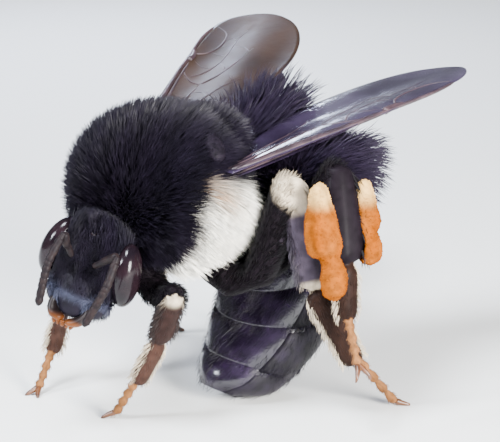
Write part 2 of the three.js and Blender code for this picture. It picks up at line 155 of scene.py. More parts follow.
def rounded(half, fullness=2.0, around=40, down=26):
    """An egg of the given half sizes; a higher fullness is squarer."""
    polar = np.linspace(0, math.pi, down + 1)[1:-1, None]
    turn = np.linspace(0, 2 * math.pi, around, endpoint=False)[None]
    ball = (np.sin(polar) * np.cos(turn), np.sin(polar) * np.sin(turn), np.cos(polar))
    points, faces = loft(np.stack(np.broadcast_arrays(*ball), -1), (0, 0, 1), (0, 0, -1))
    points /= (np.abs(points) ** fullness).sum(axis=1, keepdims=True) ** (1 / fullness)
    return points * np.asarray(half), faces


def moved(form, offset=(0, 0, 0), turn=None):
    """A form turned about the origin and then moved."""
    points, faces = form
    points = points @ np.array(turn.to_3x3()).T if turn else points
    return points + np.asarray(offset), faces


def joined(forms):
    """Several forms as one."""
    points, faces, start = [], [], 0
    for some_points, some_faces in forms:
        points.append(some_points)
        faces += [tuple(corner + start for corner in face) for face in some_faces]
        start += len(some_points)
    return np.vstack(points), faces


# %% [markdown]
# ## From a form to a piece
# A form becomes a mesh, and every visible piece is listed with the finish slot it takes and the nodes of
# the model that it stands for. melted() is the tool for flesh: it fuses overlapping forms into one closed
# surface with a voxel remesh, as a sculptor smooths lumps of clay together. mark() writes fields such as
# colour or hair length on the points of a mesh, for the materials and the coat to read.

# %% Pieces of the model
made = []


def placed(thing):
    bpy.context.scene.collection.objects.link(thing)
    return thing


def mesh_of(name, points, faces):
    """A mesh with its faces pointing out."""
    mesh = bpy.data.meshes.new(name)
    mesh.from_pydata(points.tolist(), [], faces)
    work = bmesh.new()
    work.from_mesh(mesh)
    bmesh.ops.recalc_face_normals(work, faces=work.faces)
    work.to_mesh(mesh)
    work.free()
    return mesh


def piece(name, form, material, slot="shell", replaces=()):
    """A visible piece, from a form in millimetres from the middle of the thorax."""
    points, faces = form
    mesh = mesh_of(name, metres(points), faces)
    mesh.shade_smooth()
    mesh.materials.append(material)
    thing = placed(bpy.data.objects.new(name, mesh))
    made.append((thing, slot, replaces))
    return thing


def evaluated_mesh(thing):
    """A plain mesh of what a thing's modifiers make; the modifiers are then removed."""
    mesh = bpy.data.meshes.new_from_object(thing.evaluated_get(bpy.context.evaluated_depsgraph_get()))
    thing.modifiers.clear()
    return mesh


def values_of(items, key, size):
    """A value of each item of a mesh, as rows of the given size."""
    values = np.empty(len(items) * size)
    items.foreach_get(key, values)
    return values.reshape(-1, size)


def faces_of(mesh):
    return [tuple(face.vertices) for face in mesh.polygons]


def melted(form, voxel, rounds):
    """One closed surface round several overlapping forms; all lengths stay in millimetres."""
    lump = placed(bpy.data.objects.new("lump", mesh_of("lump", *form)))
    remesh = lump.modifiers.new("melt", "REMESH")
    remesh.mode = "VOXEL"
    remesh.voxel_size = voxel
    lump.modifiers.new("smooth", "SMOOTH").iterations = rounds
    mesh = evaluated_mesh(lump)
    bpy.data.objects.remove(lump)
    return values_of(mesh.vertices, "co", 3), faces_of(mesh)


def vertices_of(thing):
    """A mesh's points and normals, in millimetres from the middle of the thorax."""
    mesh = thing.data
    return values_of(mesh.vertices, "co", 3) / MM - MIDDLE, values_of(mesh.vertex_normals, "vector", 3)


def mark(thing, **fields):
    """Writes a value, vector or tint for each point, as an attribute of its own name."""
    for name, values in fields.items():
        kind, key = ("FLOAT_VECTOR", "vector") if np.ndim(values) == 2 else ("FLOAT", "value")
        if name.endswith("tint"):
            kind, key = "FLOAT_COLOR", "color"
            values = np.column_stack([values, np.ones(len(values))])
        layer = thing.data.attributes.new(name, kind, "POINT")
        layer.data.foreach_set(key, np.asarray(values, dtype=float).ravel())


# %% [markdown]
# ## Camera and light
# The camera looks at her left side from a little in front and above. A long lens keeps the perspective as
# flat as a close-up from a hand's width away. The light is a broad cool sky from above and in front of her,
# a low white light that reaches under the wings, and a faint blue one from behind, whose sheen draws the
# wings and the coat.

# %% Camera and light
AZIMUTH = math.radians(58)
ELEVATION = math.radians(16)
VIEW_DISTANCE = 130.0
LENS, FILM_WIDTH = 206, 36
NEAREST_SEEN = 5 * MM
AIM_RIGHT, AIM_DOWN = 4.09, 1.59

right = np.array([math.cos(AZIMUTH), math.sin(AZIMUTH), 0])
toward = np.array([
    math.sin(AZIMUTH) * math.cos(ELEVATION),
    -math.cos(AZIMUTH) * math.cos(ELEVATION),
    math.sin(ELEVATION),
])
upward = np.cross(toward, right)
aim = right * AIM_RIGHT - upward * AIM_DOWN

camera = placed(bpy.data.objects.new("camera", bpy.data.cameras.new("camera")))
camera.data.lens = LENS
camera.data.sensor_width = FILM_WIDTH
camera.data.clip_start = NEAREST_SEEN
camera.location = metres(aim + toward * VIEW_DISTANCE)
camera.rotation_euler = Matrix(np.array([right, upward, toward]).T.tolist()).to_euler()
bpy.context.scene.camera = camera


def softbox(name, place, size, watts, colour):
    """A round area light of a size in millimetres, aimed at the thorax."""
    light = placed(bpy.data.objects.new(name, bpy.data.lights.new(name, "AREA")))
    light.data.shape = "DISK"
    light.data.size = size * MM
    light.data.energy = watts
    light.data.color = colour
    light.location = metres(place)
    light.rotation_euler = Vector(place).to_track_quat("Z", "Y").to_euler()


softbox("sky", -right * 26 + upward * 84 + toward * 62, 38, 0.36, (0.86, 0.92, 1.0))
softbox("front", -right * 80 + upward * 30 + toward * 50, 24, 0.20, (0.88, 0.93, 1.0))
softbox("low", right * 60 + toward * 85, 40, 0.60, (1.0, 0.99, 0.96))
softbox("sheen", -right * 11 + upward * 54 - toward * 81, 20, 0.07, (0.70, 0.78, 1.0))
world = bpy.data.worlds.new("sky")
world.use_nodes = True
backdrop = world.node_tree.nodes["Background"]
backdrop.inputs["Color"].default_value = (0.84, 0.88, 0.95, 1)
backdrop.inputs["Strength"].default_value = 0.30
bpy.context.scene.world = world
print("camera stands at, mm:", (aim + toward * VIEW_DISTANCE).round(1))

# %% [markdown]
# ## Finishes
# A bee has few finishes: horny shell, hair, glassy eyes, thin wings and floury pollen. Two effects return
# on many of them, so each is a node group: "Horn" mottles a colour and pits the surface as shell is pitted,
# and "Strand" takes the colour that each hair carries and lets it vary a little. Groups only put out
# colours, values and heights, and the Principled shader stays in the material.

# %% Node helpers
def new_group(name, inputs, outputs, kind="ShaderNodeTree"):
    """A node group, with its inputs and outputs as they are seen from inside it."""
    group = bpy.data.node_groups.new(name, kind)
    for label, socket_kind, *value in inputs:
        socket = group.interface.new_socket(label, in_out="INPUT", socket_type=f"NodeSocket{socket_kind}")
        if value:
            socket.default_value = value[0]
    for label, socket_kind in outputs:
        group.interface.new_socket(label, in_out="OUTPUT", socket_type=f"NodeSocket{socket_kind}")
    return group, group.nodes.new("NodeGroupInput").outputs, group.nodes.new("NodeGroupOutput").inputs


def node(tree, kind, links=(), **settings):
    """A node with its settings; links are pairs of its input and the socket or value that feeds it."""
    new = tree.nodes.new(kind)
    for key, value in settings.items():
        setattr(new, key, value)
    for socket, source in links:
        if isinstance(source, bpy.types.NodeSocket):
            tree.links.new(source, new.inputs[socket])
        else:
            new.inputs[socket].default_value = source
    return new


def feed(tree, inputs, **sources):
    """Links each source to the input of its name, where _ stands for a space."""
    for label, source in sources.items():
        tree.links.new(source, inputs[label.replace("_", " ")])


def number(tree, operation, *values):
    """The result of a Math node."""
    return node(tree, "ShaderNodeMath", enumerate(values), operation=operation).outputs[0]


def ranged(tree, value, *limits):
    """A value taken from one range to another: the limits are from low, from high, to low, to high."""
    limits = zip(("From Min", "From Max", "To Min", "To Max"), limits)
    return node(tree, "ShaderNodeMapRange", [("Value", value), *limits]).outputs[0]


def noise(tree, place, scale, detail):
    return node(tree, "ShaderNodeTexNoise", [("Vector", place), ("Scale", scale), ("Detail", detail)])


# %% Shared effects
def horn_group():
    """Shell: two colours in blotches, a finely varied roughness, and a height with pits. Sizes are in mm."""
    group, given, put = new_group(
        "Horn",
        [("Colour", "Color", (0.02, 0.015, 0.014, 1)), ("Second colour", "Color", (0.05, 0.03, 0.02, 1)),
         ("Blotch size", "Float", 0.6), ("Pit size", "Float", 0.07), ("Shine", "Float", 0.3)],
        [("Colour", "Color"), ("Roughness", "Float"), ("Height", "Float")],
    )
    place = node(group, "ShaderNodeTexCoord").outputs["Object"]
    blotch_scale = number(group, "DIVIDE", 1 / MM, given["Blotch size"])
    pit_scale = number(group, "DIVIDE", 1 / MM, given["Pit size"])
    share = ranged(group, noise(group, place, blotch_scale, 4).outputs["Fac"], 0.42, 0.68)
    grain = noise(group, place, pit_scale, 2).outputs["Fac"]
    pits = node(group, "ShaderNodeTexVoronoi", [("Vector", place), ("Scale", pit_scale)]).outputs["Distance"]
    colours = [(0, share), (6, given["Colour"]), (7, given["Second colour"])]  # factor, A and B of the mix
    colour = node(group, "ShaderNodeMix", colours, data_type="RGBA").outputs[2]
    rough = number(group, "MULTIPLY_ADD", grain, 0.22, given["Shine"])
    feed(group, put, Colour=colour, Roughness=rough, Height=number(group, "ADD", pits, grain))
    return group


def strand_group():
    """Hair: the colour that each strand carries, made lighter and darker in fine patches."""
    group, given, put = new_group(
        "Strand",
        [("Variety", "Float", 0.25), ("Shine", "Float", 0.4)],
        [("Colour", "Color"), ("Roughness", "Float")],
    )
    tint = node(group, "ShaderNodeAttribute", attribute_name="tint").outputs["Color"]
    place = node(group, "ShaderNodeTexCoord").outputs["Object"]
    fine = noise(group, place, 2500, 1).outputs["Fac"]
    bright = ranged(group, fine, 0.3, 0.7, 0.75, 1.25)
    colour = node(group, "ShaderNodeVectorMath", [(0, tint), ("Scale", bright)], operation="SCALE").outputs[0]
    rough = number(group, "MULTIPLY_ADD", fine, given["Variety"], given["Shine"])
    feed(group, put, Colour=colour, Roughness=rough)
    return group


HORN = horn_group()
STRAND = strand_group()
print("node groups:", [group.name for group in bpy.data.node_groups])

# %% Kinds of material
def finish(name, **constants):
    """A material with a Principled shader, and the constants on its own sockets."""
    material = bpy.data.materials.new(name)
    material.use_nodes = True
    shader = material.node_tree.nodes["Principled BSDF"]
    for socket, value in constants.items():
        shader.inputs[socket.replace("_", " ")].default_value = value
    return material, material.node_tree, shader


def horn(name, colour, second, shine, blotch=0.6, pits=0.07, depth=0.006, **constants):
    """Shell; the sizes of its blotches and pits and the depth of the pits are in millimetres."""
    material, tree, shader = finish(name, **constants)
    values = [("Colour", (*colour, 1)), ("Second colour", (*second, 1)), ("Shine", shine)]
    values += [("Blotch size", blotch), ("Pit size", pits)]
    shell = node(tree, "ShaderNodeGroup", values, node_tree=HORN).outputs
    bump = [("Height", shell["Height"]), ("Distance", depth * MM), ("Strength", 0.8)]
    feed(tree, shader.inputs, Base_Color=shell["Colour"], Roughness=shell["Roughness"],
         Normal=node(tree, "ShaderNodeBump", bump).outputs["Normal"])
    return material


def pile(name, shine, variety=0.25, **constants):
    """Hair, or any surface that carries its own tint."""
    material, tree, shader = finish(name, **constants)
    hair = node(tree, "ShaderNodeGroup", [("Shine", shine), ("Variety", variety)], node_tree=STRAND).outputs
    feed(tree, shader.inputs, Base_Color=hair["Colour"], Roughness=hair["Roughness"])
    return material


# %% Her finishes
skin_finish = pile("skin under the coat", 0.5, Specular_IOR_Level=0.12)
coat_finish = pile("hair", 0.34, Specular_IOR_Level=0.15)
plate_finish = horn("abdomen plate", (0.005, 0.003, 0.008), (0.017, 0.010, 0.026), 0.10,
                    blotch=0.9, pits=0.10, depth=0.004, Specular_IOR_Level=0.6)
dull_plate_finish = horn("hairy plate", (0.004, 0.003, 0.005), (0.012, 0.008, 0.017), 0.36,
                         blotch=0.9, Specular_IOR_Level=0.2)
eye_finish = horn("compound eye", (0.004, 0.0025, 0.004), (0.010, 0.005, 0.007), 0.04,
                  blotch=1.2, pits=0.05, depth=0.002, Specular_IOR_Level=0.18)
bead_finish = horn("simple eye", (0.03, 0.014, 0.01), (0.05, 0.02, 0.012), 0.05, Coat_Weight=1.0)
feeler_finish = horn("feeler", (0.007, 0.005, 0.006), (0.014, 0.009, 0.009), 0.36,
                     blotch=0.3, pits=0.04, Specular_IOR_Level=0.07)
jaw_finish = pile("jaw", 0.25, 0.3, Specular_IOR_Level=0.2)
claw_finish = horn("claw", (0.10, 0.035, 0.012), (0.035, 0.014, 0.008), 0.25, blotch=0.3)
tegula_finish = horn("wing root plate", (0.004, 0.003, 0.005), (0.010, 0.007, 0.012), 0.5,
                     blotch=0.35, Specular_IOR_Level=0.05)
vein_finish = horn("wing vein", (0.022, 0.012, 0.016), (0.06, 0.034, 0.04), 0.3, blotch=1.0)
leg_finish = pile("leg shell", 0.32, 0.2, Specular_IOR_Level=0.03)
pollen_finish = pile("pollen", 0.6, 0.3, Specular_IOR_Level=0.02)
print("materials:", len(bpy.data.materials))

# %% [markdown]
# ## The floor
# The model stands on a wide, pale and matt floor, one square face that reaches out of sight. It is a stage,
# not a part of the bee.

# %% Floor
FLOOR_REACH = 400 * MM
floor_finish, _, _ = finish("pale floor", Roughness=0.9, Base_Color=(0.80, 0.80, 0.78, 1))
floor_corners = [(x * FLOOR_REACH, y * FLOOR_REACH, 0) for x, y in ((-1, -1), (1, -1), (1, 1), (-1, 1))]
floor_mesh = bpy.data.meshes.new("floor")
floor_mesh.from_pydata(floor_corners, [], [(0, 1, 2, 3)])
floor_mesh.materials.append(floor_finish)
floor = placed(bpy.data.objects.new("floor", floor_mesh))
print("floor is", 2 * FLOOR_REACH, "m wide")

# %% [markdown]
# ## The skin
# Under the hair the head, thorax and the core of the abdomen are one closed skin. It is made from
# overlapping lumps, such as the skull, the clypeus over the mouth, the cheeks and the neck, which a voxel
# remesh melts into one surface and a light smoothing blends. That gives soft natural joins, which separate
# parts would not.

# %% The head's own axes
HEAD_YAW, HEAD_PITCH, HEAD_ROLL = (math.radians(a) for a in (36, -6, 17))
EYE_ON_HEAD = np.array([0, -0.32, 0.25])
head_turn = (Matrix.Rotation(HEAD_YAW, 3, "Z") @ Matrix.Rotation(HEAD_PITCH, 3, "X")
             @ Matrix.Rotation(HEAD_ROLL, 3, "Y"))
head_axes = np.array(head_turn)
eye_centre = {side: sum(box_mm(f"eye_{side}")) / 2 - MIDDLE for side in SIDES}
HEAD_CENTRE = (eye_centre["left"] + eye_centre["right"]) / 2 - head_axes @ EYE_ON_HEAD


def on_head(x, y, z):
    """A place given along the head's own axes: to her left, back and up."""
    return HEAD_CENTRE + head_axes @ np.array([x, y, z])


def from_head(points):
    return (points - HEAD_CENTRE) @ head_axes


print("middle of the head:", HEAD_CENTRE.round(2))
# %% [markdown]
# ## The plan of the wings
# The hair and the plates of the abdomen have to leave room for the folded wings, so the wings are planned
# first. A wing is drawn flat, from its root to its tip, and then set in space by its root, the way it
# points and the way its hind edge points. Its veins are short lists of places, given as shares of its
# length and width, each with the vein's radius. One plan serves the left and the right wing.

# %% Wing plans
# each wing: size, root, the way it points, the way its hind edge points, and how far off its root it lies
FOREWING = {"length": 15.2, "chord": 5.3}
HINDWING = {"length": 10.6, "chord": 3.7}
WINGS = {
    "forewing_left": (FOREWING, (3.75, 1.3, 1.3), (-1.1, 13.9, 2.55), (-1, 0, -0.1), 0.0),
    "hindwing_left": (HINDWING, (3.1, 1.3, 0.55), (-2.1, 13.7, 2.4), (-1, 0, -0.1), 0.2),
    "forewing_right": (FOREWING, (-3.7, 1.2, 1.4), (-9.6, 10.7, 2.8), (0.8, 0.6, 0), 0.0),
    "hindwing_right": (HINDWING, (-3.05, 1.3, 0.6), (-7.9, 12.1, 2.8), (0.8, 0.6, 0), -0.2),
}
FOREWING_VEINS = [
    (0.13, [(0.0, -0.02), (0.25, -0.06), (0.5, -0.092), (0.6, -0.088), (0.76, -0.105), (0.87, -0.06)]),
    (0.10, [(0.0, 0.03), (0.2, 0.0), (0.4, -0.04), (0.58, -0.06)]),
    (0.20, [(0.575, -0.075), (0.61, -0.062), (0.655, -0.085)]),
    (0.07, [(0.63, -0.06), (0.655, 0.05), (0.72, 0.12), (0.81, 0.1), (0.87, -0.05)]),
    (0.09, [(0.0, 0.06), (0.2, 0.11), (0.4, 0.18)]),
    (0.07, [(0.4, 0.18), (0.43, 0.06), (0.49, -0.05)]),
    (0.06, [(0.455, 0.02), (0.49, 0.13), (0.56, 0.22), (0.66, 0.25), (0.77, 0.25), (0.86, 0.3)]),
    (0.05, [(0.525, 0.18), (0.545, 0.07), (0.585, -0.03)]),
    (0.05, [(0.625, 0.245), (0.645, 0.15), (0.665, 0.06)]),
    (0.05, [(0.755, 0.25), (0.775, 0.18), (0.755, 0.12)]),
    (0.06, [(0.4, 0.18), (0.47, 0.31), (0.57, 0.4), (0.7, 0.48)]),
    (0.05, [(0.5, 0.34), (0.545, 0.29), (0.575, 0.225)]),
    (0.05, [(0.655, 0.45), (0.695, 0.36), (0.705, 0.25)]),
    (0.07, [(0.0, 0.08), (0.16, 0.2), (0.32, 0.36), (0.46, 0.56)]),
    (0.05, [(0.34, 0.155), (0.335, 0.26), (0.3, 0.34)]),
]
HINDWING_VEINS = [
    (0.10, [(0.0, -0.02), (0.25, -0.06), (0.5, -0.08), (0.62, -0.07)]),
    (0.08, [(0.0, 0.06), (0.2, 0.14), (0.42, 0.25), (0.62, 0.33), (0.84, 0.38)]),
    (0.06, [(0.5, -0.06), (0.6, 0.02), (0.75, 0.08), (0.9, 0.14)]),
    (0.05, [(0.46, 0.27), (0.5, 0.14), (0.52, -0.04)]),
    (0.06, [(0.0, 0.1), (0.16, 0.26), (0.3, 0.42), (0.42, 0.6)]),
    (0.05, [(0.3, 0.185), (0.29, 0.3), (0.25, 0.37)]),
]
WING_FILM = 0.05


def bezier(a, b, c, d, count):
    t = np.linspace(0, 1, count, endpoint=False)[:, None]
    a, b, c, d = (np.array(p, dtype=float) for p in (a, b, c, d))
    return (1 - t) ** 3 * a + 3 * (1 - t) ** 2 * t * b + 3 * (1 - t) * t**2 * c + t**3 * d


def wing_edges(length, chord):
    """The front and hind edge of a wing as rows of points from root to tip, in its own plane."""
    bend, elbow, tip = (length * 0.88, -0.3), (length * 0.52, chord * 0.86), (length * 0.95, chord * 0.58)
    round_the_tip = bezier(bend, (length * 0.98, 0.1), (length * 1.02, chord * 0.34), tip, 12)
    front = [bezier((0, -0.35), (length * 0.3, -0.55), (length * 0.72, -0.75), bend, 40), round_the_tip[:7]]
    hind = [bezier((0, 0.55), (length * 0.14, chord * 0.46), (length * 0.32, chord * 0.76), elbow, 30),
            bezier(elbow, (length * 0.68, chord * 0.95), (length * 0.88, chord * 0.84), tip, 20),
            round_the_tip[:6:-1]]
    return np.vstack(front), np.vstack(hind)


def along_line(points, count):
    """The same line with its points spread evenly."""
    steps = np.r_[0, np.cumsum(np.linalg.norm(np.diff(points, axis=0), axis=1))]
    wanted = np.linspace(0, steps[-1], count)
    return np.stack([np.interp(wanted, steps, column) for column in points.T], axis=1)


def pleat(x, y, length, chord):
    """How far the film stands off the wing's plane: pleats along the veins, and a cupped hind edge."""
    ribs = 0.09 * np.sin(9.0 * y / chord + 0.6) * smoothstep(x / length, 0.0, 0.3)
    return ribs * (1 - 0.7 * smoothstep(x / length, 0.6, 1.0)) - 0.12 * np.clip(y / chord, 0, 1) ** 2


def wing_frame(root, span, hind):
    """A wing's root and its three axes: along it, towards its hind edge, and off its surface."""
    along = unit(span)
    back = unit(np.array(hind) - along * (along @ np.array(hind)))
    return np.array(root), np.array([along, back, np.cross(along, back)])


wing_planes = {}
for name, (size, root, span, hind, offset) in WINGS.items():
    wing_planes[name] = (size, *wing_frame(root, span, hind), offset)
print("wings point along:", {name: plane[2][0].round(2).tolist() for name, plane in wing_planes.items()})

# %% Room for the wings over the abdomen
UNDER_WING = 0.5  # clear depth that a wing keeps over the abdomen, for its short hair
DENT_SLOPE = 1.1  # how steeply the abdomen may rise beside a wing's edge


def pressed_down(points):
    """Points of the abdomen, moved down where a wing lies over them."""
    points = points.copy()
    for size, origin, axes, _ in wing_planes.values():
        front, rear = wing_edges(size["length"], size["chord"])
        along, back, up = ((points - origin) @ axes.T).T
        before = np.interp(along, front[:, 0], front[:, 1]) - back
        behind = back - np.interp(along, np.maximum.accumulate(rear[:, 0]), rear[:, 1])
        beyond = np.maximum(along - size["length"], -along)
        outside = np.maximum(np.maximum(before, behind), np.maximum(beyond, 0))
        sign = np.sign(axes[2][2])
        limit = -UNDER_WING + DENT_SLOPE * np.maximum(outside, 0)
        sink = np.maximum(sign * up - limit, 0)
        points -= np.outer(sign * sink, axes[2])
    return points


# %% [markdown]
# ## The line of the abdomen
# The abdomen bends through more than half a circle, up behind the thorax and down again to the floor. Such
# a shape is easiest to give as the ribs of a fan: each rib runs from a point on the back to one on the
# belly, with a width and the depth of the coat there. A smooth curve through the ribs then gives the
# abdomen at any place along it, so that the skin, the plates and the hair all follow one table.

# %% Abdomen rings
# Each ring of the abdomen stands between a point on its back and one on its belly, like a rib of a fan:
# back (y, z), belly (y, z), half width, depth of the coat on the back, and shift to her left.
RINGS = np.array([
    (3.6, 0.5, 3.6, -2.1, 1.3, 0.9, 0.0),
    (5.0, 1.9, 4.2, -3.1, 3.2, 2.2, 0.0),
    (7.1, 2.3, 4.6, -3.7, 4.0, 2.8, 0.0),
    (9.0, 1.4, 4.7, -4.3, 4.0, 2.1, 0.0),
    (9.8, -0.7, 4.5, -5.0, 3.95, 0.9, 0.05),
    (9.5, -3.6, 4.1, -5.8, 3.65, 0.7, 0.1),
    (8.7, -6.4, 3.5, -6.7, 3.25, 0.6, 0.25),
    (7.3, -8.8, 2.8, -7.7, 2.6, 0.5, 0.5),
    (5.2, -10.35, 2.1, -8.8, 1.8, 0.5, 0.75),
    (3.2, -10.3, 1.7, -9.6, 0.9, 0.35, 0.95),
])
BANDS = (0, 1.6, 3.1, 4.6, 6.1, 7.5, 9)
FINE = 40
ring_table = curve_through(RINGS, (len(RINGS) - 1) * FINE + 1)
print("length of the back, mm:", round(np.linalg.norm(np.diff(ring_table[:, :2], axis=0), axis=1).sum(), 1))


def ring_at(place):
    """Centre, half width, outward half height and coat depth of the abdomen at places along it."""
    place = np.atleast_1d(place)
    steps = np.arange(len(ring_table)) / FINE
    row = np.stack([np.interp(place, steps, column) for column in ring_table.T], axis=1)
    back = np.stack([row[:, 6], row[:, 0], row[:, 1]], axis=1)
    belly = np.stack([row[:, 6], row[:, 2], row[:, 3]], axis=1)
    return (back + belly) / 2, row[:, 4], (back - belly) / 2, row[:, 5]


def abdomen_at(place, angle, lift=0.0):
    """Points on the abdomen: angle 0 is the back and a quarter turn is her left side."""
    centre, half, out, _ = ring_at(place)
    height = np.linalg.norm(out, axis=1)
    wide = (half + lift) * np.sin(angle)
    tall = (1 + lift / height) * np.cos(angle)
    return pressed_down(centre + wide[:, None] * np.array([1.0, 0, 0]) + tall[:, None] * out)


# %% One skin
THORAX_SKIN = np.array([3.15, 3.5, 3.1])
SCUTELLUM, SCUTELLUM_SKIN = np.array([0, 2.5, 1.9]), np.array([1.6, 1.0, 0.8])
HEAD_SKIN = np.array([1.92, 1.2, 2.18])
FACE_NARROWING = 0.27

skull, skull_faces = rounded(HEAD_SKIN, 2.35, 44, 30)
height_on_face = skull[:, 2] / HEAD_SKIN[2]
chin_narrowing = 1 - FACE_NARROWING * smoothstep(-height_on_face, -0.1, 1.05)
skull[:, 0] *= chin_narrowing * (1 - 0.1 * smoothstep(height_on_face, 0.3, 1.1))
skull[:, 1] *= np.where(skull[:, 1] > 0, 0.8, 1 + 0.1 * smoothstep(-height_on_face, 0, 0.7))
face_lumps = [
    (skull, skull_faces),
    moved(rounded((0.86, 0.42, 0.74), 2.6), (0, -1.02, -1.18)),  # clypeus
    moved(rounded((0.60, 0.20, 0.30), 2.6), (0, -1.10, -2.02)),  # labrum
    moved(rounded((0.26, 0.20, 0.60)), (0, -1.20, 0.05)),  # ridge between the feelers
    moved(rounded((0.62, 0.40, 0.36)), (0, -0.62, 1.72)),  # rise that carries the simple eyes
]
for side in SIDES.values():
    face_lumps.append(moved(rounded((0.34, 0.22, 0.34)), (side * 0.55, -1.14, 0.35)))  # feeler socket
    face_lumps.append(moved(rounded((0.42, 0.42, 0.80)), (side * 1.12, -0.66, -1.35)))  # cheek
head_form = moved(joined(face_lumps), HEAD_CENTRE, head_turn)

UNDER_PLATES = 0.12  # how far the core of the abdomen lies inside its plates
core_angles = np.linspace(0, 2 * math.pi, 48, endpoint=False)
core_rings = [abdomen_at(np.full(len(core_angles), place), core_angles, -UNDER_PLATES)
              for place in np.linspace(0.15, 8.85, 60)]
core = loft(core_rings, ring_at(0.1)[0][0], ring_at(8.9)[0][0])
skin_form = joined([
    head_form,
    limb([(0, -2.2, -1.4), HEAD_CENTRE * (0.9, 0.9, 0.95)], [1.0, 0.9]),
    rounded(THORAX_SKIN, 2.15, 60, 40),
    moved(rounded(SCUTELLUM_SKIN), SCUTELLUM),
    limb([(0, 2.4, -0.8), ring_at(0.6)[0][0]], [1.3, 1.1]),
    core,
])
SKIN_VOXEL = 0.13
skin = piece("skin", melted(skin_form, SKIN_VOXEL, 4), skin_finish, "shell",
             ("head", "thorax", *(f"abdomen_{i}" for i in range(1, 7))))
print("skin faces:", len(skin.data.polygons))

# %% [markdown]
# ## Shell plates of the abdomen
# The abdomen is a row of horny plates, each with its hind edge over the next like roof tiles, six across
# the back and six under the belly. Each plate is a curved sheet between two places along the abdomen, given
# a wall and closed at its rim. They stay apart from the skin, as real plates do, so their edges catch the
# light.

# %% Plates
PLATE_WALL = 0.07
PLATE_BULGE = 0.12
PLATE_TUCK = 0.28  # how far along the abdomen a plate reaches forward under the last one
PLATE_OVERHANG = 0.05  # and back over the next one
PLATE_ROWS, PLATE_COLUMNS = 14, 44
BACK_SPREAD = math.radians(112)  # how far a back plate reaches round each side
BELLY_SPREAD = math.radians(84)


def plate_form(first, last, middle, spread, step):
    """A closed curved plate, which starts tucked under the plate in front and ends a little proud."""
    places = np.linspace(first - PLATE_TUCK, last + PLATE_OVERHANG, PLATE_ROWS)
    angles = middle + np.linspace(-spread, spread, PLATE_COLUMNS)
    place, angle = (grid.ravel() for grid in np.meshgrid(places, angles, indexing="ij"))
    tucked = (place - places[0]) / (places[-1] - places[0])
    rise = step * (smoothstep(tucked, 0.1, 0.35) - 0.6) + PLATE_BULGE * np.sin(math.pi * tucked)
    outer, inner = abdomen_at(place, angle, rise), abdomen_at(place, angle, rise - PLATE_WALL)
    return sheet(outer, inner, PLATE_COLUMNS), np.tile(place, 2), np.tile(angle, 2)


PLATE_KINDS = {"tergite": (0, BACK_SPREAD, 0.11), "sternite": (math.pi, BELLY_SPREAD, 0.05)}
plates = []
for band, (first, last) in enumerate(zip(BANDS, BANDS[1:]), start=1):
    for kind, shape in PLATE_KINDS.items():
        form, place, angle = plate_form(max(first, 0.3), min(last, 8.9), *shape)
        glossy = kind == "sternite" and band > 2
        plate = piece(f"{kind}_{band}", form, plate_finish if glossy else dull_plate_finish)
        plates.append((plate, kind, band, place, angle))
print("plates:", len(plates), "faces each:", len(plates[0][0].data.polygons))

# %% [markdown]
# ## Wings
# A bee's wing is a clear film on a frame of veins. The film is a thin closed sheet that follows the
# outline, gently pleated and cupped. The veins are round bars along it, thick on the front edge and fine
# towards the tip, each bent along a short list of places given as shares of the wing's length and width, so
# one plan serves left and right.

# %% Wing shapes
FILM_ROWS, FILM_COLUMNS = 90, 26
wing_shapes = {}
for name, (size, origin, axes, offset) in wing_planes.items():
    length, chord = size["length"], size["chord"]
    origin = origin + offset * axes[2]
    front, rear = (along_line(edge, FILM_ROWS) for edge in wing_edges(length, chord))
    share = np.linspace(0, 1, FILM_COLUMNS)[None, :, None]
    plane = (front[:, None] * (1 - share) + rear[:, None] * share).reshape(-1, 2)
    height = pleat(*plane.T, length, chord)
    top, bottom = (np.column_stack([plane, height + half]) for half in (WING_FILM / 2, -WING_FILM / 2))
    film_points, film_faces = sheet(top, bottom, FILM_COLUMNS)
    veins = []
    for radius, plan in FOREWING_VEINS if size is FOREWING else HINDWING_VEINS:
        line = curve_through(np.array(plan) * (length, chord), 16)
        line = np.column_stack([line, pleat(*line.T, length, chord)])
        radii = [radius, radius * 0.8, radius * 0.55]
        veins.append(limb(line @ axes + origin, radii, side=axes[2], sides=6, steps=18, rounding=0.8))
    wing_shapes[name] = ((film_points @ axes + origin, film_faces), joined(veins))
print("faces of each film:", len(film_faces))


# %% Wing film and veins
def wing_film(name, dark, light, thin, thick, gloss, dullest):
    """A smoky film: two colours, how much its thin and thick places hide, gloss and greatest roughness."""
    material, tree, shader = finish(name, IOR=1.5, Specular_IOR_Level=gloss)
    place = node(tree, "ShaderNodeTexCoord").outputs["Object"]
    smoke = noise(tree, place, 350, 3).outputs["Fac"]
    ripple = noise(tree, place, 1400, 2).outputs["Fac"]
    tone = node(tree, "ShaderNodeValToRGB", [("Fac", smoke)])
    for stop, position, colour in zip(tone.color_ramp.elements, (0.3, 0.7), (dark, light)):
        stop.position = position
        stop.color = (*colour, 1)
    bump = node(tree, "ShaderNodeBump", [("Height", ripple), ("Distance", 0.03 * MM), ("Strength", 0.6)])
    feed(tree, shader.inputs, Base_Color=tone.outputs["Color"], Normal=bump.outputs["Normal"],
         Alpha=ranged(tree, smoke, 0.3, 0.7, thick, thin),
         Roughness=ranged(tree, ripple, 0, 1, 0.5 * dullest, dullest))
    return material


# The two wings are one membrane painted two ways: the left film's violet colour is painted sheen, and the
# right film's darker, more opaque brown is painted shade.
film_finishes = {
    "left": wing_film("film painted violet as sheen", (0.012, 0.007, 0.017), (0.040, 0.028, 0.058), 0.84, 0.94, 0.6, 0.24),
    "right": wing_film("film painted dark brown as shade", (0.012, 0.006, 0.004), (0.036, 0.020, 0.013), 0.93, 0.985, 0.05, 0.6),
}
for name, (film, veins) in wing_shapes.items():
    piece(f"{name}_film", film, film_finishes[name.split("_")[1]], "wing", (name,))
    piece(f"{name}_veins", veins, vein_finish, "wing")
print("wings:", list(wing_shapes))

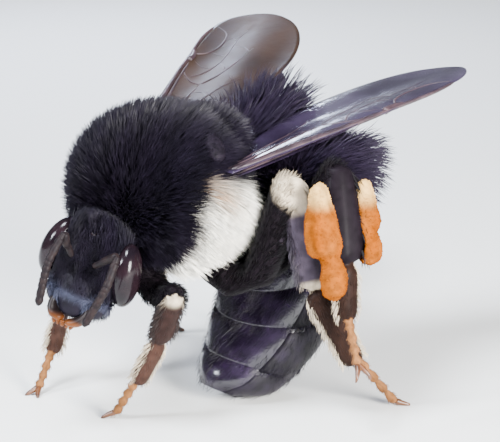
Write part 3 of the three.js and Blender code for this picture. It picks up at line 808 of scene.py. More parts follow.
# %% [markdown]
# ## Eyes, simple eyes, feelers and jaws
# The two compound eyes are tall beans let into the sides of the head, made of thousands of facets too small
# to model, which the finish gives as fine pits. Three bead-like simple eyes sit on her crown. Each feeler
# is a long stem, a small joint and ten short rings: one loop swells and pinches a tube once for every ring.
# The jaws are spoons of amber horn that cross under the face.

# %% Eyes
EYE_HALF = (0.60, 0.78, 1.47)
EYE_LEAN = math.radians(9)
EYE_BEND = (0.10, 0.12)  # how far its two ends curve inwards and back
for name, side in SIDES.items():
    bean, bean_faces = rounded(EYE_HALF, 2.1, 56, 44)
    towards_end = (bean[:, 2] / EYE_HALF[2]) ** 2
    bean[:, :2] += np.outer(towards_end, EYE_BEND) * (-side, 1)
    lean = head_turn @ Matrix.Rotation(-side * EYE_LEAN, 3, "Y")
    eye = moved((bean, bean_faces), eye_centre[name], lean)
    piece(f"eye_{name}_facets", eye, eye_finish, "eye", (f"eye_{name}",))

beads = [moved(rounded((0.17, 0.15, 0.15), 2, 20, 14), on_head(x, y, z), head_turn)
         for x, y, z in ((0, -0.98, 1.66), (-0.36, -0.80, 1.92), (0.36, -0.80, 1.92))]
piece("simple_eyes", joined(beads), bead_finish, "eye")

# %% Feelers
RINGS_OF_FEELER = 10


def bowed_spine(node_name, start_near, slices=5):
    """Points down the middle of a long, slightly curved CAD solid, from the end nearest a given point."""
    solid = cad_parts[node_name]
    points = np.array([tuple(v.co) for v in solid.data.vertices]) / MM - MIDDLE
    centre = points.mean(axis=0)
    axis = np.linalg.svd(points - centre, full_matrices=False)[2][0]
    if (np.asarray(start_near) - centre) @ axis > 0:
        axis = -axis
    reach = (points - centre) @ axis
    edges = np.linspace(reach.min(), reach.max(), slices + 1)
    edges[-1] += 1e-6
    middle = [points[(reach >= a) & (reach < b)].mean(axis=0) for a, b in zip(edges, edges[1:])]
    middle[0] = points[np.argmin(reach)]
    middle[-1] = points[np.argmax(reach)]
    return np.array(middle)


for name in SIDES:
    stem_line = bowed_spine(f"scape_{name}", HEAD_CENTRE, 4)
    stem = limb(stem_line, [0.13, 0.15, 0.17, 0.19, 0.19], steps=30, sides=14)
    whip_line = bowed_spine(f"flagellum_{name}", stem_line[-1], 6)
    whip_line[0] = stem_line[-1]
    path = curve_through(whip_line, 14 * RINGS_OF_FEELER)
    along = np.linspace(0, 1, len(path))
    ring = np.sqrt(np.sin(math.pi * (np.linspace(0, RINGS_OF_FEELER, len(path)) % 1.0)))
    radius = 0.165 + 0.03 * ring - 0.05 * (along < 0.06)
    radii = radius * np.sqrt(np.clip((1.0 - along) * 18, 0, 1))
    whip = limb(path, radii, steps=len(path), sides=14, rounding=0.01)
    stands_for = (f"scape_{name}", f"flagellum_{name}")
    piece(f"feeler_{name}", joined([stem, whip]), feeler_finish, "feeler", stands_for)
print("length of a feeler's stem and whip, mm:",
      [round(float(np.linalg.norm(line[-1] - line[0])), 1) for line in (stem_line, whip_line)])

# %% Jaws and tongue
JAW_BLACK, JAW_AMBER = np.array([0.008, 0.005, 0.005]), np.array([0.10, 0.026, 0.002])
for name, side in SIDES.items():
    jaw_line = [on_head(side * 0.84, -0.82, -1.62), on_head(side * 0.84, -1.06, -2.02),
                on_head(side * 0.62, -1.22, -2.36), on_head(side * 0.06, -1.32, -2.54 - 0.05 * side)]
    jaw = limb(jaw_line, [0.26, 0.32, 0.36, 0.36, 0.26], side=head_axes[:, 1], flat=0.62, sides=18, steps=30)
    teeth = []
    for x in (0.1, 0.3, 0.5):
        tooth_line = [on_head(side * x, -1.34, -2.5), on_head(side * (x - 0.1), -1.40, -2.8)]
        teeth.append(limb(tooth_line, [0.14, 0.05], sides=8, steps=8))
    spoon = piece(f"jaw_{name}", joined([jaw, *teeth]), jaw_finish, "jaw", (f"mandible_{name}",))
    amber = smoothstep(-from_head(vertices_of(spoon)[0])[:, 2], 2.2, 2.5)
    mark(spoon, tint=mixed(JAW_BLACK, JAW_AMBER, amber))
tongue_line = [on_head(0, y, z) for y, z in ((-0.75, -1.9), (-0.35, -2.3), (0.35, -2.5), (1.1, -2.3))]
tongue = limb(tongue_line, [0.34, 0.30, 0.24, 0.16], side=head_axes[:, 0], flat=0.6, sides=16)
piece("tongue_sheath", tongue, claw_finish, "jaw")
print("jaws' faces:", len(spoon.data.polygons))

# %% [markdown]
# ## Wing root plates
# A small domed plate, the tegula, covers the root of each forewing like a shoulder guard. It is a squarish
# egg, tilted out over the wing's root.

# %% Wing root plates
TEGULA_CENTRE = np.array([2.93, 1.1, 2.30])
TEGULA_TILT = math.radians(50)
for name, side in SIDES.items():
    tilt = Matrix.Rotation(side * TEGULA_TILT, 3, "Y")
    dome = moved(rounded((0.74, 0.47, 0.30), 2.3, 40, 24), TEGULA_CENTRE * (side, 1, 1), tilt)
    piece(f"tegula_{name}_dome", dome, tegula_finish, "shell", (f"tegula_{name}",))
print("pieces so far:", len(made))

# %% [markdown]
# ## The coat
# A bee's coat is thousands of stiff hairs, each a thin tapering rod that bends over towards its tip. One
# Geometry Nodes tree makes every part of it: it scatters roots over a surface, leans each hair from upright
# towards the lie of the coat, gathers neighbours into loose locks, and sets one solid strand on each root.
# How dense, how long, how flat and what colour the hair is at a place is written on the surface beforehand,
# as attributes of its points. The tree ends with real faces. The map OFBake gives each hair its own small
# patch at its root's place.

# %% One strand
def strand(name, slim, bend, rings=2):
    """A closed three-sided hair of length 1 that bends away from +X; slim is thickness over length."""
    corners = []
    for height in np.linspace(0, 0.55 if rings == 2 else 0.72, rings):
        radius = slim / 2 * (1 - 0.35 * height)
        for turn in (0, 2 * math.pi / 3, 4 * math.pi / 3):
            corners.append((radius * math.cos(turn) - bend * height**2, radius * math.sin(turn), height))
    tip = len(corners)
    corners.append((-bend, 0, 1.0 - 0.5 * bend))
    faces = [(2, 1, 0)]
    for ring in range(0, tip - 3, 3):
        faces += [(ring + s, ring + (s + 1) % 3, ring + 3 + (s + 1) % 3, ring + 3 + s) for s in range(3)]
    faces += [(tip - 3 + s, tip - 3 + (s + 1) % 3, tip) for s in range(3)]
    mesh = bpy.data.meshes.new(name)
    mesh.from_pydata(corners, [], faces)
    hair = bpy.data.objects.new(name, mesh)
    _, across, up = np.array(corners).T
    mark(hair, patch=np.column_stack([across / slim, up - 0.5, 0 * across]))
    return hair


# %% The coat's tree
COAT_INPUTS = [
    ("Surface", "Geometry"),
    ("Hairs per square mm", "Float", 100.0),
    ("Where", "String", "density"),
    ("Spread", "Float", 0.15),
    ("Lock size", "Float", 0.4),
    ("Lock pull", "Float", 0.5),
    ("Uneven length", "Float", 0.25),
    ("Patch", "Float", 0.003),
    ("Seed", "Int", 1),
    ("Strand", "Object"),
    ("Finish", "Material"),
]
PER_MM2 = 1 / MM**2  # what a number for each square millimetre is for each square metre


def random_value(tree, low, high, seed):
    """A random number for each point, or a random vector if the limits are vectors."""
    first, kind = (0, "FLOAT_VECTOR") if isinstance(low, tuple) else (2, "FLOAT")
    links = [(first, low), (first + 1, high), ("Seed", seed)]
    return node(tree, "FunctionNodeRandomValue", links, data_type=kind).outputs[first // 2]


def scattered(tree, surface, density, seed):
    """Points strewn over a surface, so many to the square metre."""
    return node(tree, "GeometryNodeDistributePointsOnFaces",
                [("Mesh", surface), ("Density", density), ("Seed", seed)]).outputs


def set_out(tree, points, shape, rotation, scale):
    """A copy of a shape on each point, made into real faces."""
    links = [("Points", points), ("Instance", shape), ("Rotation", rotation), ("Scale", scale)]
    copies = node(tree, "GeometryNodeInstanceOnPoints", links).outputs[0]
    return node(tree, "GeometryNodeRealizeInstances", [("Geometry", copies)]).outputs[0]


def coat_tree():
    tree, given, put = new_group("Coat", COAT_INPUTS, [("Coat", "Geometry")], "GeometryNodeTree")

    def field(name, kind="FLOAT"):
        return node(tree, "GeometryNodeInputNamedAttribute", [("Name", name)], data_type=kind).outputs[0]

    def stored(geometry, name, value, kind, domain):
        links = [("Geometry", geometry), ("Name", name), ("Value", value)]
        return node(tree, "GeometryNodeStoreNamedAttribute", links, data_type=kind, domain=domain).outputs[0]

    def vector(operation, *values):
        return node(tree, "ShaderNodeVectorMath", enumerate(values), operation=operation).outputs[0]

    def scaled(value, scale):
        links = [(0, value), ("Scale", scale)]
        return node(tree, "ShaderNodeVectorMath", links, operation="SCALE").outputs[0]

    # roots, each with its place on the surface's own map
    wanted = number(tree, "MULTIPLY", field(given["Where"]), given["Hairs per square mm"])
    roots = scattered(tree, given["Surface"], number(tree, "MULTIPLY", wanted, PER_MM2), given["Seed"])
    kept = stored(roots["Points"], "root", field("OFBake", "FLOAT_VECTOR"), "FLOAT_VECTOR", "POINT")

    # the way each hair points: its lean, the pull of its lock, and a little disorder
    place = node(tree, "GeometryNodeInputPosition").outputs[0]
    lock = noise(tree, place, number(tree, "DIVIDE", 1 / MM, given["Lock size"]), 1).outputs["Color"]
    pull = scaled(vector("SUBTRACT", lock, (0.5, 0.5, 0.5)), given["Lock pull"])
    disorder = random_value(tree, (-1, -1, -1), (1, 1, 1), number(tree, "ADD", given["Seed"], 11))
    lean = vector("ADD", field("lean", "FLOAT_VECTOR"), pull)
    direction = vector("NORMALIZE", vector("ADD", lean, scaled(disorder, given["Spread"])))
    upright = node(tree, "FunctionNodeAlignRotationToVector", [("Vector", direction)], axis="Z").outputs[0]
    turned = node(tree, "FunctionNodeAlignRotationToVector",
                  [("Rotation", upright), ("Vector", roots["Normal"])], axis="X", pivot_axis="Z").outputs[0]

    # one strand on each root, with its patch of the map
    shorter = number(tree, "SUBTRACT", 1, given["Uneven length"])
    unevenness = random_value(tree, shorter, 1, number(tree, "ADD", given["Seed"], 23))
    shape = node(tree, "GeometryNodeObjectInfo", [("Object", given["Strand"])]).outputs["Geometry"]
    solid = set_out(tree, kept, shape, turned, number(tree, "MULTIPLY", field("length"), unevenness))
    patch = scaled(field("patch", "FLOAT_VECTOR"), given["Patch"])
    mapped = stored(solid, "OFBake", vector("ADD", field("root", "FLOAT_VECTOR"), patch), "FLOAT2", "CORNER")
    done = node(tree, "GeometryNodeSetMaterial", [("Geometry", mapped), ("Material", given["Finish"])])
    feed(tree, put, Coat=done.outputs[0])
    return tree


COAT = coat_tree()
print("inputs of the coat:", [label for label, *_ in COAT_INPUTS])


# %% Growing a coat
BUILDING_MARKS = ("length", "density", "lean", "root", "patch", "white", "front", "back")
coat_sizes = {}


def grown(name, surface, tree, slot, **settings):
    """What a Geometry Nodes tree makes of a surface, as a plain mesh; in a setting's name _ is a space."""
    settings = {label.replace("_", " "): value for label, value in settings.items()}
    host = placed(bpy.data.objects.new(name, surface.data.copy()))
    modifier = host.modifiers.new(name, "NODES")
    modifier.node_group = tree
    for item in tree.interface.items_tree:
        if item.name in settings:
            modifier[item.identifier] = settings[item.name]
    host.data = evaluated_mesh(host)
    host.data.name = name
    made.append((host, slot, ()))
    return host


def coat(name, surface, hair, per_mm2, slot="thorax_hair", **settings):
    """Hair over a marked surface, with the map for its colours."""
    mesh = grown(name, surface, COAT, slot, Strand=hair, Finish=coat_finish, Hairs_per_square_mm=per_mm2,
                 **settings).data
    for mark_name in BUILDING_MARKS:
        if mark_name in mesh.attributes:
            mesh.attributes.remove(mesh.attributes[mark_name])
    mesh.uv_layers["OFBake"].active = True
    mesh.uv_layers["OFBake"].active_render = True
    coat_sizes[name] = sum(len(face.vertices) - 2 for face in mesh.polygons)
    print(f"{name}: {coat_sizes[name]} triangles")


def unwrap(thing):
    """Smart UV Project gives the surface's own unwrap, as the map OFBake."""
    thing.data.uv_layers.new(name="OFBake")
    bpy.ops.object.select_all(action="DESELECT")
    thing.select_set(True)
    bpy.context.view_layer.objects.active = thing
    bpy.ops.object.mode_set(mode="EDIT")
    bpy.ops.mesh.select_all(action="SELECT")
    bpy.ops.uv.smart_project(angle_limit=math.radians(66), island_margin=0.004)
    bpy.ops.object.mode_set(mode="OBJECT")


# %% [markdown]
# ## Coat of the thorax and head
# The thorax is black velvet of even length, standing nearly upright. Low on each side behind the wing root
# it turns to a dense cream patch, brown where it begins, whose tips sweep down and back in points. The head
# has a black tuft on the crown and between the feelers, short hair on the cheeks, grey down over the mouth,
# and none on the eyes.

# %% How hair leans, and its colours
BLACK = np.array([0.0032, 0.0029, 0.0046])
VIOLET = np.array([0.0125, 0.0085, 0.0185])
CREAM = np.array([0.98, 0.95, 0.87])
BROWN = np.array([0.34, 0.18, 0.08])
GREY = np.array([0.040, 0.044, 0.072])


def tangent(direction, normals):
    """The part of a direction that runs along the surface, of length 1."""
    direction = np.broadcast_to(direction, normals.shape)
    return unit(direction - (direction * normals).sum(axis=1, keepdims=True) * normals)


def lean_of(normals, direction, lift):
    """From flat along the surface (lift 0) to upright (lift 1)."""
    lift = np.broadcast_to(lift, len(normals))[:, None]
    return unit(tangent(direction, normals) * (1 - lift) + normals * lift)


# %% Regions of the skin
points, normals = vertices_of(skin)
x, y, z = points.T
on_the_head = from_head(points)
hx, hy, hz = on_the_head.T
head_shell = np.linalg.norm(on_the_head / (HEAD_SKIN * (1.0, 1.25, 1.0)), axis=1)
headness = 1 - smoothstep(head_shell, 1.12, 1.2)
thorax_shell = np.minimum(np.linalg.norm(points / THORAX_SKIN, axis=1),
                          np.linalg.norm((points - SCUTELLUM) / SCUTELLUM_SKIN, axis=1))
thoraxness = (1 - headness) * (1 - smoothstep(thorax_shell, 1.12, 1.25))

patch_start = -0.20 + 0.20 * z + 0.10 * np.sin(3.1 * z)
patch_top = 1.0 - 0.16 * y
patch = thoraxness * smoothstep(y, patch_start, patch_start + 0.15)
patch *= (1 - smoothstep(z, patch_top - 0.25, patch_top)) * smoothstep(np.abs(x), 0.7, 1.1)
patch *= smoothstep(z, -3.4, -3.0)
brownish = patch * smoothstep(z, 0.1, 0.8) * (1 - smoothstep(y, 0.1, 1.5))

eye_reach = np.array(EYE_HALF) * (1.15, 1.12, 1.08)
near_eye = np.min([np.linalg.norm((points - centre) @ head_axes / eye_reach, axis=1)
                   for centre in eye_centre.values()], axis=0)
crown = smoothstep(hz, 0.9, 1.6)
mouth = 1 - smoothstep(hz, -1.5, -1.0)
face = smoothstep(-hy, 0.35, 0.8)
clypeus = face * (1 - smoothstep(np.abs(hx), 0.55, 0.85))
clypeus *= (1 - smoothstep(hz, -0.6, -0.35)) * smoothstep(hz, -1.75, -1.55)
print("points of the skin in the cream patches:", int((patch > 0.5).sum()), "and on the head:",
      int((headness > 0.5).sum()))

# %% Length, density and lie on the skin
length_thorax = 1.35 - 0.35 * (1 - patch) * smoothstep(-z, 2.2, 3.1) + 1.05 * patch
length_head = 0.55 + 0.45 * crown - 0.2 * face * (1 - crown) * (1 - mouth)
length = (length_thorax * thoraxness + length_head * headness) * MM
density = thoraxness + headness * smoothstep(near_eye, 0.98, 1.06) * (1 - 0.85 * clypeus)
density *= 1 - 0.8 * thoraxness * smoothstep(-z, 2.9, 3.1)

NECK = np.array([0.3, -2.9, -1.7])
from_neck = unit(points - NECK)
lie = from_neck + np.outer(smoothstep(y, -1.0, 1.5), (0, 1.6, -1.0))
down_back = np.column_stack([0.25 * np.sign(x), np.full(len(x), 0.75), np.full(len(x), -0.8)])
lie = mixed(lie, down_back, patch)
head_lie = mixed(head_axes @ (0, -0.3, 1), head_axes @ (0, -0.2, -1), mouth)
lean = lean_of(normals, mixed(lie, head_lie, headness), 0.72 - 0.20 * patch - headness * (0.22 + 0.1 * face))
print("longest hair of the skin, mm:", round(length.max() / MM, 2))

# %% Coat of the skin
tint = mixed(BLACK, VIOLET, 0.25 + 0.25 * np.sin(2.3 * x + 1.7 * y) ** 2)
for colour, share in ((CREAM, patch), (BROWN, brownish), (GREY, headness * face * mouth)):
    tint = mixed(tint, colour, share)
black_thorax = density * thoraxness * (1 - patch)
mark(skin, length=length, lean=lean, tint=tint * (1 - 0.15 * patch[:, None]), front=black_thorax * (y <= 0),
     back=black_thorax * (y > 0), white=density * patch, density=density * headness)
unwrap(skin)
velvet_hair = strand("velvet hair", 0.036, 0.16)
cream_hair = strand("cream hair", 0.028, 0.22)
face_hair = strand("face hair", 0.07, 0.2)
coat("thorax_coat_front", skin, velvet_hair, 270, Where="front", Seed=1, Lock_pull=0.35, Spread=0.14)
coat("thorax_coat_back", skin, velvet_hair, 270, Where="back", Seed=2, Lock_pull=0.35, Spread=0.14)
coat("thorax_coat_cream", skin, cream_hair, 420, Where="white", Seed=3, Lock_pull=0.5, Spread=0.12)
coat("head_coat", skin, face_hair, 400, "head_hair", Where="density", Seed=4, Lock_pull=0.3, Spread=0.16)

# %% [markdown]
# ## Coat of the abdomen
# The first two plates carry the longest hair of all, which stands up behind the thorax in a ragged
# violet-black crest. The later plates are nearly bare, with a thin fringe along each hind edge, and those
# of the belly shine. Where the folded wings lie over the hair it is pressed down: a ray from each root
# towards the wing gives the room that is left.

# %% Room under the wings
WING_SEARCH = 4.0  # no hair is longer than this
wing_points, wing_faces = joined([film for film, _ in wing_shapes.values()])
wing_tree = BVHTree.FromPolygons(wing_points.tolist(), wing_faces)


def room(points, directions, reach):
    """How far each root can send its hair before it meets a wing, up to reach."""
    free = np.full(len(points), float(reach))
    for i, (point, direction) in enumerate(zip(points, directions)):
        hit = wing_tree.ray_cast(point.tolist(), direction.tolist(), reach)
        if hit[0] is not None:
            free[i] = hit[3]
    return free


def under_wings(points, normals, ahead, lift, length, flatter=(0.3, 0.12)):
    """Lean and length of the hair, which is first laid flatter and then cut short where a wing is over it."""
    lean = lean_of(normals, ahead, lift)
    free = room(points, lean, WING_SEARCH)
    for lower in flatter:
        caught = free < length
        other = lean_of(normals, ahead, min(lower, lift))
        lean = np.where(caught[:, None], other, lean)
        free = np.where(caught, room(points, other, WING_SEARCH), free)
    free = np.minimum(0.9 * free, 1.7 * room(points, normals, WING_SEARCH))
    return lean, np.minimum(length, np.maximum(free, 0.3))


# %% Plates as a surface for hair
def plate_surface(chosen):
    """Several plates as one surface, with their own flat map of angle across and place along."""
    points, faces = joined([(vertices_of(plate)[0], faces_of(plate.data)) for plate, *_ in chosen])
    outer, flat = [], []
    for _, kind, band, place, angle in chosen:
        outer.append(np.arange(len(place)) < len(place) // 2)
        row = band - 1 + (6 if kind == "sternite" else 0)
        across = (angle - angle.min()) / (angle.max() - angle.min())
        along = (place - place.min()) / (place.max() - place.min())
        flat.append(np.column_stack([0.02 + 0.96 * across, (row + 0.05 + 0.9 * along) / 12]))
    mesh = bpy.data.meshes.new("plate surface")
    mesh.from_pydata(metres(points).tolist(), [], faces)
    corners = [loop.vertex_index for loop in mesh.loops]
    mesh.uv_layers.new(name="OFBake").data.foreach_set("uv", np.vstack(flat)[corners].ravel())
    place, angle = (np.concatenate([plate[column] for plate in chosen]) for column in (3, 4))
    return bpy.data.objects.new("plate surface", mesh), place, angle, np.concatenate(outer)


# %% Coat of the plates
def round_the_body(angle):
    """Share of the coat's depth: 1 on the back, falling to a good third on the sides and a quarter below."""
    return np.interp(np.abs(angle), np.radians([0, 55, 95, 180]), [1.0, 0.85, 0.38, 0.25])


def abdomen_coat(name, kind, bands, hair, per_mm2, dense, long, seed, lift, **settings):
    """Hair over some plates: dense and long give its cover and its length from its place, angle and depth."""
    chosen = [plate for plate in plates if plate[1] == kind and plate[2] in bands]
    surface, place, angle, outer = plate_surface(chosen)
    points, normals = vertices_of(surface)
    turned = (angle + math.pi) % (2 * math.pi) - math.pi
    depth = ring_at(place)[3] * round_the_body(turned)
    ahead = unit(abdomen_at(place + 0.05, angle) - abdomen_at(place - 0.05, angle))
    outwards = unit(points - ring_at(place)[0])
    normals = np.where((normals * outwards).sum(axis=1, keepdims=True) < 0, -normals, normals)
    lean, length = under_wings(points, normals, ahead, lift, long(depth))
    tint = mixed(BLACK, VIOLET, 0.35 + 0.65 * smoothstep(depth, 0.5, 2.0))
    mark(surface, length=length * MM, lean=lean, density=dense(place, turned) * outer, tint=tint)
    coat(name, surface, hair, per_mm2, "abdomen_hair", Seed=seed, **settings)


EDGE_OVERLAP = 0.06  # a plate reaches a little past its own edge


def hind_edge(place):
    """1 at the hind edge of each plate, falling forward."""
    edges = np.array(BANDS[1:])
    ahead = np.minimum(np.searchsorted(edges, place - EDGE_OVERLAP), len(edges) - 1)
    return 1 - smoothstep(edges[ahead] - place, 0.0, 0.35)


def fringed(bare):
    """A cover that is full at each hind edge and falls to a share in front of it."""
    return lambda place, angle: bare + (1 - bare) * hind_edge(place)


def crested(place, angle):
    """A cover that is full on the back and half on the sides."""
    return 1 - 0.5 * smoothstep(np.abs(angle), 1.2, 1.9)


long_hair = strand("long hair", 0.019, 0.20, rings=3)
fringe_hair = strand("fringe hair", 0.032, 0.25)
for band in (1, 2):
    abdomen_coat(f"abdomen_coat_{band}", "tergite", (band,), long_hair, 190, crested,
                 lambda depth: 1.25 * depth + 0.3, 9 + band, 0.62,
                 Lock_pull=0.7, Lock_size=0.9, Spread=0.2, Uneven_length=0.4)
abdomen_coat("abdomen_coat_3", "tergite", (3,), fringe_hair, 110, fringed(0.45),
             lambda depth: 0.55 * depth + 0.45, 12, 0.42, Lock_pull=0.6, Spread=0.2)
abdomen_coat("abdomen_coat_rear", "tergite", (4, 5, 6), fringe_hair, 80, fringed(0.10),
             lambda depth: 0.5 * depth + 0.4, 13, 0.34, Lock_pull=0.5, Spread=0.2)
abdomen_coat("abdomen_coat_belly", "sternite", range(1, 7), fringe_hair, 60, fringed(0.3),
             lambda depth: np.full(len(depth), 0.5), 14, 0.4, Spread=0.25)

# %% [markdown]
# ## Legs
# Each leg is thigh, shank, a long first foot joint, four small bead-like joints and a pair of claws. The
# long lengths melt together over their joints, from copies of the CAD's own solids, so they sit exactly
# where the model has them and the joints read as pinches. The beads and claws are finer than the solids
# allow, so they are built anew along the same line. Each length keeps its own colour and hair: the hind
# shank is a bare shiny basket with long bristles round its edge, and the foot joints have pale fringes.

# %% Shapes of the legs
LEGS = [f"{pair}_{side}" for pair in ("foreleg", "middleleg", "hindleg") for side in SIDES]
LENGTHS = ("femur", "tibia", "basitarsus")
JOINT_FILL = 0.13
LEG_VOXEL = 0.075
FLOOR = -MIDDLE[2]


def solid_form(node_name, swell=0.0):
    """A CAD solid's own shape with its corners merged, swollen a little."""
    work = bmesh.new()
    work.from_mesh(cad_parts[node_name].data)
    bmesh.ops.remove_doubles(work, verts=work.verts, dist=1e-7)
    bmesh.ops.recalc_face_normals(work, faces=work.faces)
    work.normal_update()
    points = np.array([tuple(v.co / MM + v.normal * swell) for v in work.verts]) - MIDDLE
    work.verts.index_update()
    faces = [tuple(v.index for v in face.verts) for face in work.faces]
    work.free()
    return points, faces


def nearest(points, others):
    """Each point's distance to the nearest of some others."""
    return np.sqrt(((points[:, None] - others[None]) ** 2).sum(axis=2).min(axis=1))


def foot_forms(tarsus, heel):
    """Four beads and the claw pair of a foot, from the heel to the claws' tips."""
    axis = unit(tarsus.mean(axis=0) - heel)
    start = heel + axis * 0.05
    reach = ((tarsus - start) @ axis).max()
    end = start + axis * (reach - 0.55)
    beads = []
    for i in range(4):
        a, b = start + (end - start) * i / 4, start + (end - start) * (i + 0.97) / 4
        radii = [0.13, 0.22, 0.27 - 0.02 * i]
        beads.append(limb([a, (a + b) / 2, b], radii, sides=14, steps=14, rounding=0.6))
    level = unit(axis * (1, 1, 0.25)) if axis[2] < -0.3 else axis
    aside = unit(np.cross((0, 0, 1), level))
    down = unit(np.cross(level, aside)) * -1
    claws = []
    for hand in (-1, 1):
        spread = unit(level + 0.55 * hand * aside)
        line = np.array([end - axis * 0.1, end + spread * 0.35 - down * 0.02,
                         end + spread * 0.68 + down * 0.10, end + spread * 0.80 + down * 0.30])
        line[:, 2] = np.maximum(line[:, 2], FLOOR + 0.06)
        claws.append(limb(line, [0.15, 0.12, 0.08, 0.03], sides=10, steps=16))
    pad = moved(rounded((0.16, 0.16, 0.12), 2, 16, 10), end + level * 0.16)
    return joined([*beads, pad]), joined(claws)


# %% Places on a leg
BROAD_WAY = np.array((0.3, 1, 0))  # the flat lengths of a leg are broad this way


def leg_places(points, normals, lengths, foot, foot_axis):
    """Each point's length of the leg, share of the way along it, how far it faces its edge, and its axis."""
    part = np.stack([nearest(points, solid) for solid in (*lengths, foot)], axis=1).argmin(axis=1)
    share, edge, axes = np.zeros(len(points)), np.ones(len(points)), np.tile(foot_axis, (len(points), 1))
    previous = np.zeros(3)
    for index, solid in enumerate(lengths):
        here = part == index
        centre = solid.mean(axis=0)
        axis = np.linalg.svd(solid - centre, full_matrices=False)[2][0]
        axis = axis if (centre - previous) @ axis > 0 else -axis
        previous = centre
        reach = (solid - centre) @ axis
        way = (points[here] - centre) @ axis - reach.min()
        share[here] = np.clip(way / (reach.max() - reach.min()), 0, 1)
        edge[here] = np.abs(normals[here] @ unit(BROAD_WAY - axis * (axis @ BROAD_WAY)))
        axes[here] = axis
    return part, share, edge, axes


# %% Colours and hair of a leg
SHANK_BLACK, HORN_BROWN = np.array([0.005, 0.0035, 0.005]), np.array([0.016, 0.008, 0.006])
# the middle shanks' lighter violet grey is painted sheen of their gloss
SHANK_PAINTED_SHEEN = np.array([0.041, 0.032, 0.044])
PALE, FOOT_ORANGE = np.array([0.50, 0.41, 0.30]), np.array([0.17, 0.072, 0.026])


def leg_tint(pair, part, share):
    """Dark lengths and an orange foot, with pale knees on the front and middle legs; the middle shanks are
    painted a lighter violet grey as sheen.
    """
    shank = SHANK_PAINTED_SHEEN if pair == "middleleg" else SHANK_BLACK * 1.1
    first_joint = HORN_BROWN * (2.2 if pair == "foreleg" else 0.8)
    tint = np.array([SHANK_BLACK, shank, first_joint, FOOT_ORANGE])[part]
    if pair == "middleleg":
        pale = (part == 1) * (1 - smoothstep(share, 0.26, 0.36) + smoothstep(share, 0.90, 0.96))
        tint = mixed(tint, PALE, pale + (part == 0) * smoothstep(share, 0.80, 0.88))
    if pair == "foreleg":
        pale = (part == 1) * (1 - smoothstep(share, 0.05, 0.2))
        tint = mixed(tint, PALE * 0.8, pale)
        tint = mixed(tint, HORN_BROWN * 1.5, 0.6 * (part == 1) * (1 - pale))
    return tint


def leg_hair(pair, part, edge):
    """Length in mm and cover: the hind shank is bare but for the long bristles round its edge."""
    long = 1.15 * edge**2 if pair == "hindleg" else 0.42 * edge**2 + 0.12
    cover = smoothstep(edge, 0.75, 0.9) if pair == "hindleg" else 0.35 + 0.65 * smoothstep(edge, 0.6, 0.9)
    where = [part == index for index in range(4)]
    length = np.select(where, [0.50, long, 0.22 + 0.34 * edge**3, 0.22])
    cover = np.select(where, [0.8, cover, 0.3 + 0.7 * smoothstep(edge, 0.7, 0.92), 0.6])
    return length, cover * (length > 0.1)


# %% Leg shells
claw_forms, leg_shells = [], {}
for leg in LEGS:
    pair = leg.split("_")[0]
    lengths = [solid_form(f"{leg}_{part}")[0] for part in LENGTHS]
    tarsus = solid_form(f"{leg}_tarsus")[0]
    heel = lengths[-1][np.argsort(nearest(lengths[-1], tarsus))[:6]].mean(axis=0)
    foot, claws = foot_forms(tarsus, heel)
    claw_forms.append(claws)
    swollen = joined([solid_form(f"{leg}_{part}", JOINT_FILL) for part in LENGTHS])
    form = melted(joined([melted(swollen, LEG_VOXEL, 18), foot]), LEG_VOXEL, 3)
    stands_for = tuple(f"{leg}_{part}" for part in (*LENGTHS, "tarsus"))
    shell = piece(f"{leg}_shell", form, leg_finish, "leg", stands_for)
    points, normals = vertices_of(shell)
    part, share, edge, axes = leg_places(points, normals, lengths, foot[0], unit(tarsus.mean(axis=0) - heel))
    tint = leg_tint(pair, part, share)
    length, cover = leg_hair(pair, part, edge)
    lean = unit(axes * 0.75 + normals * 0.55)
    fringe = (part == 2) * smoothstep(edge, 0.6, 0.85)
    mark(shell, length=np.minimum(length, room(points, lean, 2.0) * 0.8) * MM, lean=lean, density=cover,
         tint=tint, hair_tint=mixed(tint * 0.7 + 0.001, PALE * 0.8, fringe))
    leg_shells[leg] = shell
piece("claws", joined(claw_forms), claw_finish, "foot")
print("leg shells:", {leg: len(shell.data.polygons) for leg, shell in leg_shells.items()})

# %% [markdown]
# ## Pollen loads
# She packs pollen, wetted with nectar, on the outside of each hind shank. A load is a lumpy loaf, orange
# and paler on top where the newest pollen sits, and its surface is floury. The loaf melts from the CAD's
# own lumps with a slow swell and dip added, and Geometry Nodes scatter small grains over it.

# %% Grains
GRAIN_INPUTS = [("Loaf", "Geometry"), ("Grains per square mm", "Float"), ("Grain size", "Float"),
                ("Seed", "Int"), ("Finish", "Material")]


def grain_tree():
    tree, given, put = new_group("Pollen grains", GRAIN_INPUTS, [("Grains", "Geometry")], "GeometryNodeTree")
    density = number(tree, "MULTIPLY", given["Grains per square mm"], PER_MM2)
    spots = scattered(tree, given["Loaf"], density, given["Seed"])
    grain = node(tree, "GeometryNodeMeshIcoSphere", [("Radius", 0.5), ("Subdivisions", 1)]).outputs["Mesh"]
    size = number(tree, "MULTIPLY", random_value(tree, 0.6, 1.0, given["Seed"]), given["Grain size"])
    solid = set_out(tree, spots["Points"], grain, spots["Rotation"], size)
    done = node(tree, "GeometryNodeSetMaterial", [("Geometry", solid), ("Material", given["Finish"])])
    feed(tree, put, Grains=done.outputs[0])
    return tree


GRAINS = grain_tree()
print("inputs of the grains:", [label for label, *_ in GRAIN_INPUTS])

# %% Loaves
POLLEN_ORANGE, POLLEN_PALE = np.array([0.18, 0.041, 0.0]), np.array([0.50, 0.30, 0.10])
POLLEN_VOXEL = 0.075
LUMP_HEIGHT = 0.035
LUMP_WAVES = ((4.1, 1.3, 2.2), (-1.7, 4.6, 1.1), (1.2, -2.1, 5.3))
LOBE_SWAY = 0.2  # how far the lower lobe hangs back and out
PEAR_HEIGHTS, PEAR_WIDTHS = (0, 0.2, 0.36, 0.5, 0.7, 1.0), (1.0, 1.0, 0.84, 0.98, 0.86, 0.62)


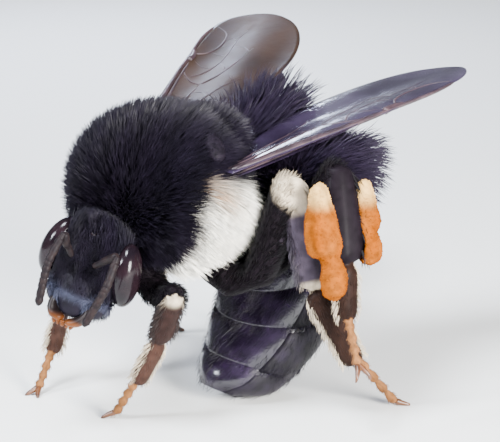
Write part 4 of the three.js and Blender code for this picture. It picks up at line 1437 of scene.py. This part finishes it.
def pear(points):
    """A load drawn in at its top and waist, as it is built up from below, and swaying out at its foot."""
    height = (points[:, 2] - points[:, 2].min()) / np.ptp(points[:, 2])
    levels = np.linspace(0, 1, 13)
    middle = np.array([points[np.abs(height - level) < 0.06].mean(axis=0) for level in levels])
    middle = np.stack([np.interp(height, levels, column) for column in middle.T], axis=1)
    width = np.interp(height, PEAR_HEIGHTS, PEAR_WIDTHS)
    sway = np.outer(smoothstep(1 - height, 0.5, 0.75), right) * LOBE_SWAY
    return middle + sway + (points - middle) * np.column_stack([width, width, np.ones(len(width))])


loads = [f"pollen_{side}_{where}" for side in SIDES for where in ("front", "rear")]
for count, load in enumerate(loads):
    points, faces = melted(solid_form(load, 0.10), POLLEN_VOXEL, 24)
    swell = sum(np.sin(points @ np.array(wave) + count) for wave in LUMP_WAVES)
    points = pear(points)
    points = points + unit(points - points.mean(axis=0)) * (LUMP_HEIGHT * swell)[:, None]
    loaf = piece(f"{load}_loaf", (points, faces), pollen_finish, "pollen", (load,))
    points, _ = vertices_of(loaf)
    x, y, z = points.T
    top = smoothstep(z, z.max() - 1.3, z.max() - 0.5)
    patchy = 0.5 + 0.5 * np.sin(5 * x + 3 * z) * np.sin(4 * y - 2 * z)
    mark(loaf, tint=mixed(POLLEN_ORANGE, POLLEN_PALE, np.clip(top * 0.9 + 0.05 * patchy, 0, 1)))
    grains = grown(f"{load}_grains", loaf, GRAINS, "pollen", Grains_per_square_mm=55.0, Grain_size=0.085 * MM,
                   Seed=count + 1, Finish=pollen_finish)
    print(load, "grains' faces:", len(grains.data.polygons))

# %% [markdown]
# ## Bristles of the legs
# The bristles grow from the same tree as the coat, on a copy of each leg's shell that carries the hair's
# colours in place of the shell's. The copy is unwrapped for the map, and thrown away once the bristles
# stand.

# %% Leg hair
bristle = strand("bristle", 0.07, 0.2)
for seed, (leg, shell) in enumerate(leg_shells.items(), start=40):
    host = placed(bpy.data.objects.new(f"{leg} hair host", shell.data.copy()))
    colours = values_of(host.data.attributes["hair_tint"].data, "color", 4)
    host.data.attributes["tint"].data.foreach_set("color", colours.ravel())
    unwrap(host)
    coat(f"{leg}_bristles", host, bristle, 130, Seed=seed, Spread=0.2, Lock_pull=0.3)
    bpy.data.objects.remove(host)
print("coat triangles:", sum(coat_sizes.values()))

# %% [markdown]
# ## Standing on the floor
# The end of the abdomen and five feet rest on the floor, so hair and bristles that would go through it are
# bent to lie on it instead. Then every piece rides on the one body, and the nodes of the model that a piece
# stands for are hidden.

# %% Riding and finishing
for thing, slot, replaced in made:
    places = values_of(thing.data.vertices, "co", 3)
    if places[:, 2].min() < 0:
        print(f"{thing.name}: lifted by up to {-places[:, 2].min() / MM:.2f} mm")
    places[:, 2] = np.maximum(places[:, 2], 0)
    thing.data.vertices.foreach_set("co", places.ravel())
    thing.data.update()
    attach(thing, "root")
    if replaced:
        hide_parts(*replaced)
